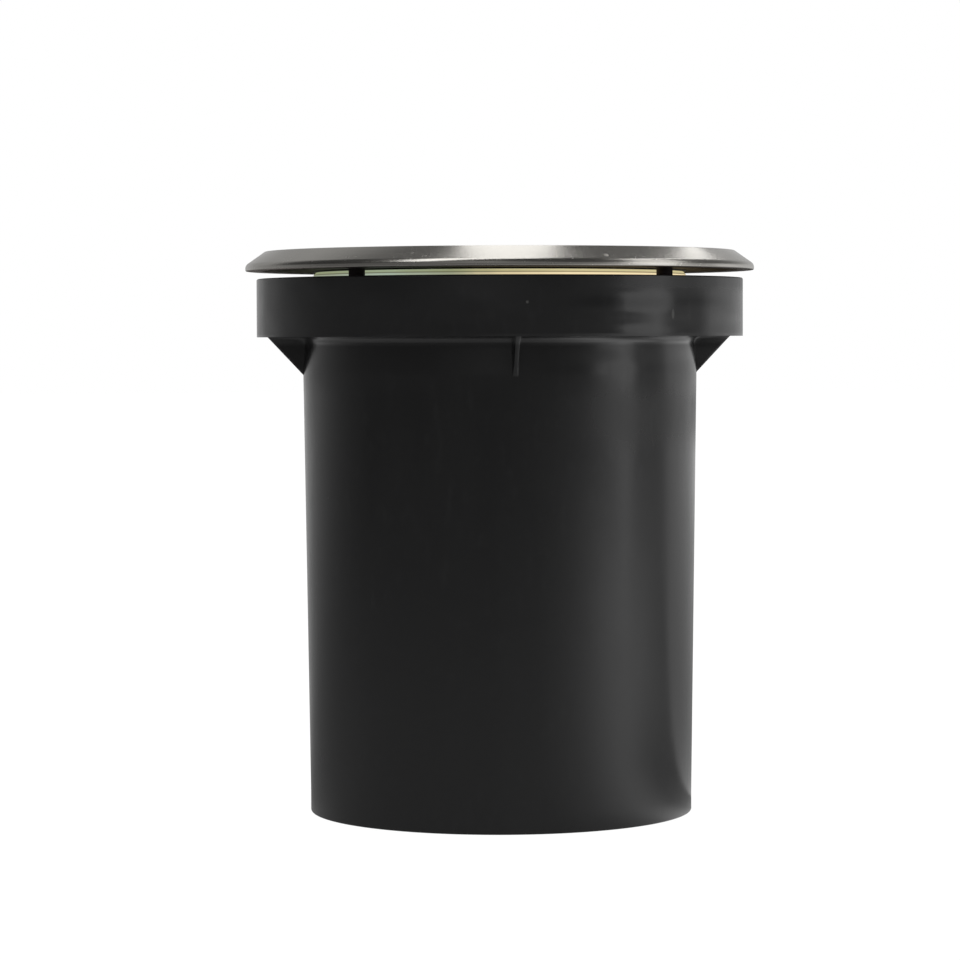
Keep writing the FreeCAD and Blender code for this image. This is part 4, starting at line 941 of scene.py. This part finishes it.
class StageOperator(bpy.types.Operator):
    """Set up the floor, the lights, the background and the camera"""
    bl_idname = "well_light.stage"
    bl_label = "Studio"

    def execute(self, context):
        s = context.scene.well_light.studio
        self.lay_floor(s)
        self.light_room(s)
        self.set_camera(context.scene, s)
        context.scene.view_settings.view_transform = "Standard"
        return {"FINISHED"}

    def lay_floor(self, s):
        """A wide white floor that keeps a faint shadow. Shiny surfaces see it as the room, with
        painted
        light: brighter near the object in front, a painted patch of light at the right front and a
        painted shadow round the foot.
        """
        mesh = bpy.data.meshes.new("studio_floor")
        corners = [(-1, -1), (1, -1), (1, 1), (-1, 1)]
        mesh.from_pydata([(x * FLOOR_HALF, y * FLOOR_HALF, 0) for x, y in corners], [],
                         [(0, 1, 2, 3)])
        floor = bpy.data.objects.new("studio_floor", mesh)
        bpy.context.scene.collection.objects.link(floor)
        material, shader = new_material("pale_floor")
        place = shader.coordinates()
        away = shader.node("ShaderNodeVectorMath", {"operation": "NORMALIZE"}, {0: place})
        seen, glossy = ray_kinds(shader)
        z, depth, side = as_seen(shader, away, s.azimuth)
        reach = shader.radius(place) * 0.5
        front = shader.ramp(reach, [(0.10, 0.41), (0.35, 0.29), (0.85, 0.20)])
        back = (shader.ramp(reach, [(0.10, 0.23), (0.35, 0.28), (0.85, 0.42)]) * (1 - side)
                + shader.ramp(reach, [(0.10, 0.05), (0.35, 0.20), (0.85, 0.42)]) * side)
        behind = shader.ramp(depth, [(0.45, 0.0), (0.80, 1.0)])
        # painted light: a bright patch on the floor at the right front, seen only in reflections
        painted_light_pool = (shader.ramp(reach, [(0.10, 0.66), (0.35, 0.98), (0.60, 0.40), (0.85, 0.0)])
                * shader.ramp(depth, [(0.03, 0.05), (0.12, 0.25), (0.255, 0.80), (0.36, 1.0),
                                      (0.50, 0.50), (0.58, 0.28), (0.70, 0.0)]) * side)
        # painted shadow: darker close round the object's foot towards the back on the right, seen
        # only in reflections
        foot = (shader.ramp(reach, [(0.06, 1.0), (0.12, 0.0)])
                * shader.ramp(depth, [(0.28, 0.0), (0.48, 1.0)]) * side)
        painted_light_pool = painted_light_pool * (1 - foot)
        front = front * (1 - 0.35 * foot)
        room = (room_level(shader, z, depth, side) + front * (1 - behind) + back * behind
                + painted_light_pool - FLOOR_DIP)
        level = seen * (FLOOR_GLOW * s.white) + glossy * room
        paper = shader.node("ShaderNodeBsdfDiffuse", None, {"Color": (0.82, 0.82, 0.82, 1.0)})
        glow = shader.node("ShaderNodeEmission", None, {"Strength": level})
        mixed = shader.node("ShaderNodeMixShader", None, {
            0: seen * FLOOR_GLOW_SHARE + glossy, 1: paper, 2: glow})
        shader.node("ShaderNodeOutputMaterial", None, {"Surface": mixed})
        mesh.materials.append(material)

    def light_room(self, s):
        """An even soft room, and the long lamps that the turned steel mirrors."""
        world = bpy.data.worlds.new("studio_world")
        bpy.context.scene.world = world
        world.use_nodes = True
        shader = Shader(world.node_tree)
        direction = shader.node("ShaderNodeTexCoord", output="Generated")
        seen, glossy = ray_kinds(shader)
        room = room_level(shader, *as_seen(shader, direction, s.azimuth))
        level = seen * s.white + glossy * room
        strength = level + (1 - seen - glossy) * s.fill
        sky = shader.node("ShaderNodeBackground", None, {
            "Color": (1.0, 1.0, 1.0, 1.0), "Strength": strength})
        shader.node("ShaderNodeOutputWorld", None, {"Surface": sky})
        for lamp in LAMPS:
            lamp_panel(s.azimuth, *lamp)

    def set_camera(self, scene, s):
        """Stand the camera off the axis and turn it by the small angles that the photo shows."""
        camera = bpy.data.cameras.new("studio_camera")
        camera.lens, camera.sensor_width, camera.clip_start = s.lens, 36.0, 0.05
        view = bpy.data.objects.new("studio_camera", camera)
        yaw = s.azimuth - math.radians(CAMERA_YAW)
        pitch, roll = math.radians(CAMERA_PITCH), math.radians(CAMERA_ROLL)
        view.location = (-math.sin(s.azimuth) * s.distance, -math.cos(s.azimuth) * s.distance,
                         s.height)
        turn = (Matrix.Rotation(-yaw, 4, "Z") @ Matrix.Rotation(math.radians(90) - pitch, 4, "X")
                @ Matrix.Rotation(roll, 4, "Z"))
        view.rotation_euler = turn.to_euler()
        scene.collection.objects.link(view)
        scene.camera = view


STEPS = (SleeveOperator, BezelOperator, GlassOperator, InsideOperator, StageOperator)
GROUPS = (SleeveSettings, BezelSettings, GlassSettings, StudioSettings, WellLightSettings)


class WellLightPanel(bpy.types.Panel):
    """Settings and steps of the in-ground well light"""
    bl_idname = "VIEW3D_PT_well_light"
    bl_label = "Well light"
    bl_space_type = "VIEW_3D"
    bl_region_type = "UI"
    bl_category = "Well light"

    def draw(self, context):
        light = context.scene.well_light
        for group in (light.sleeve, light.bezel, light.glass, light.studio):
            box = self.layout.box()
            for name in group.bl_rna.properties.keys():
                if name not in ("rna_type", "name"):
                    box.prop(group, name)
        for step in STEPS:
            self.layout.operator(step.bl_idname)


def register():
    """Add the settings, the steps and the panel to Blender."""
    for group in GROUPS + STEPS + (WellLightPanel,):
        bpy.utils.register_class(group)
    bpy.types.Scene.well_light = bpy.props.PointerProperty(type=WellLightSettings)


def unregister():
    """Take them out again."""
    del bpy.types.Scene.well_light
    for group in reversed(GROUPS + STEPS + (WellLightPanel,)):
        bpy.utils.unregister_class(group)


def main():
    """Make every piece and the studio."""
    register()
    for step in STEPS:
        group, name = step.bl_idname.split(".")
        getattr(getattr(bpy.ops, group), name)()


if __name__ == "__main__":
    main()
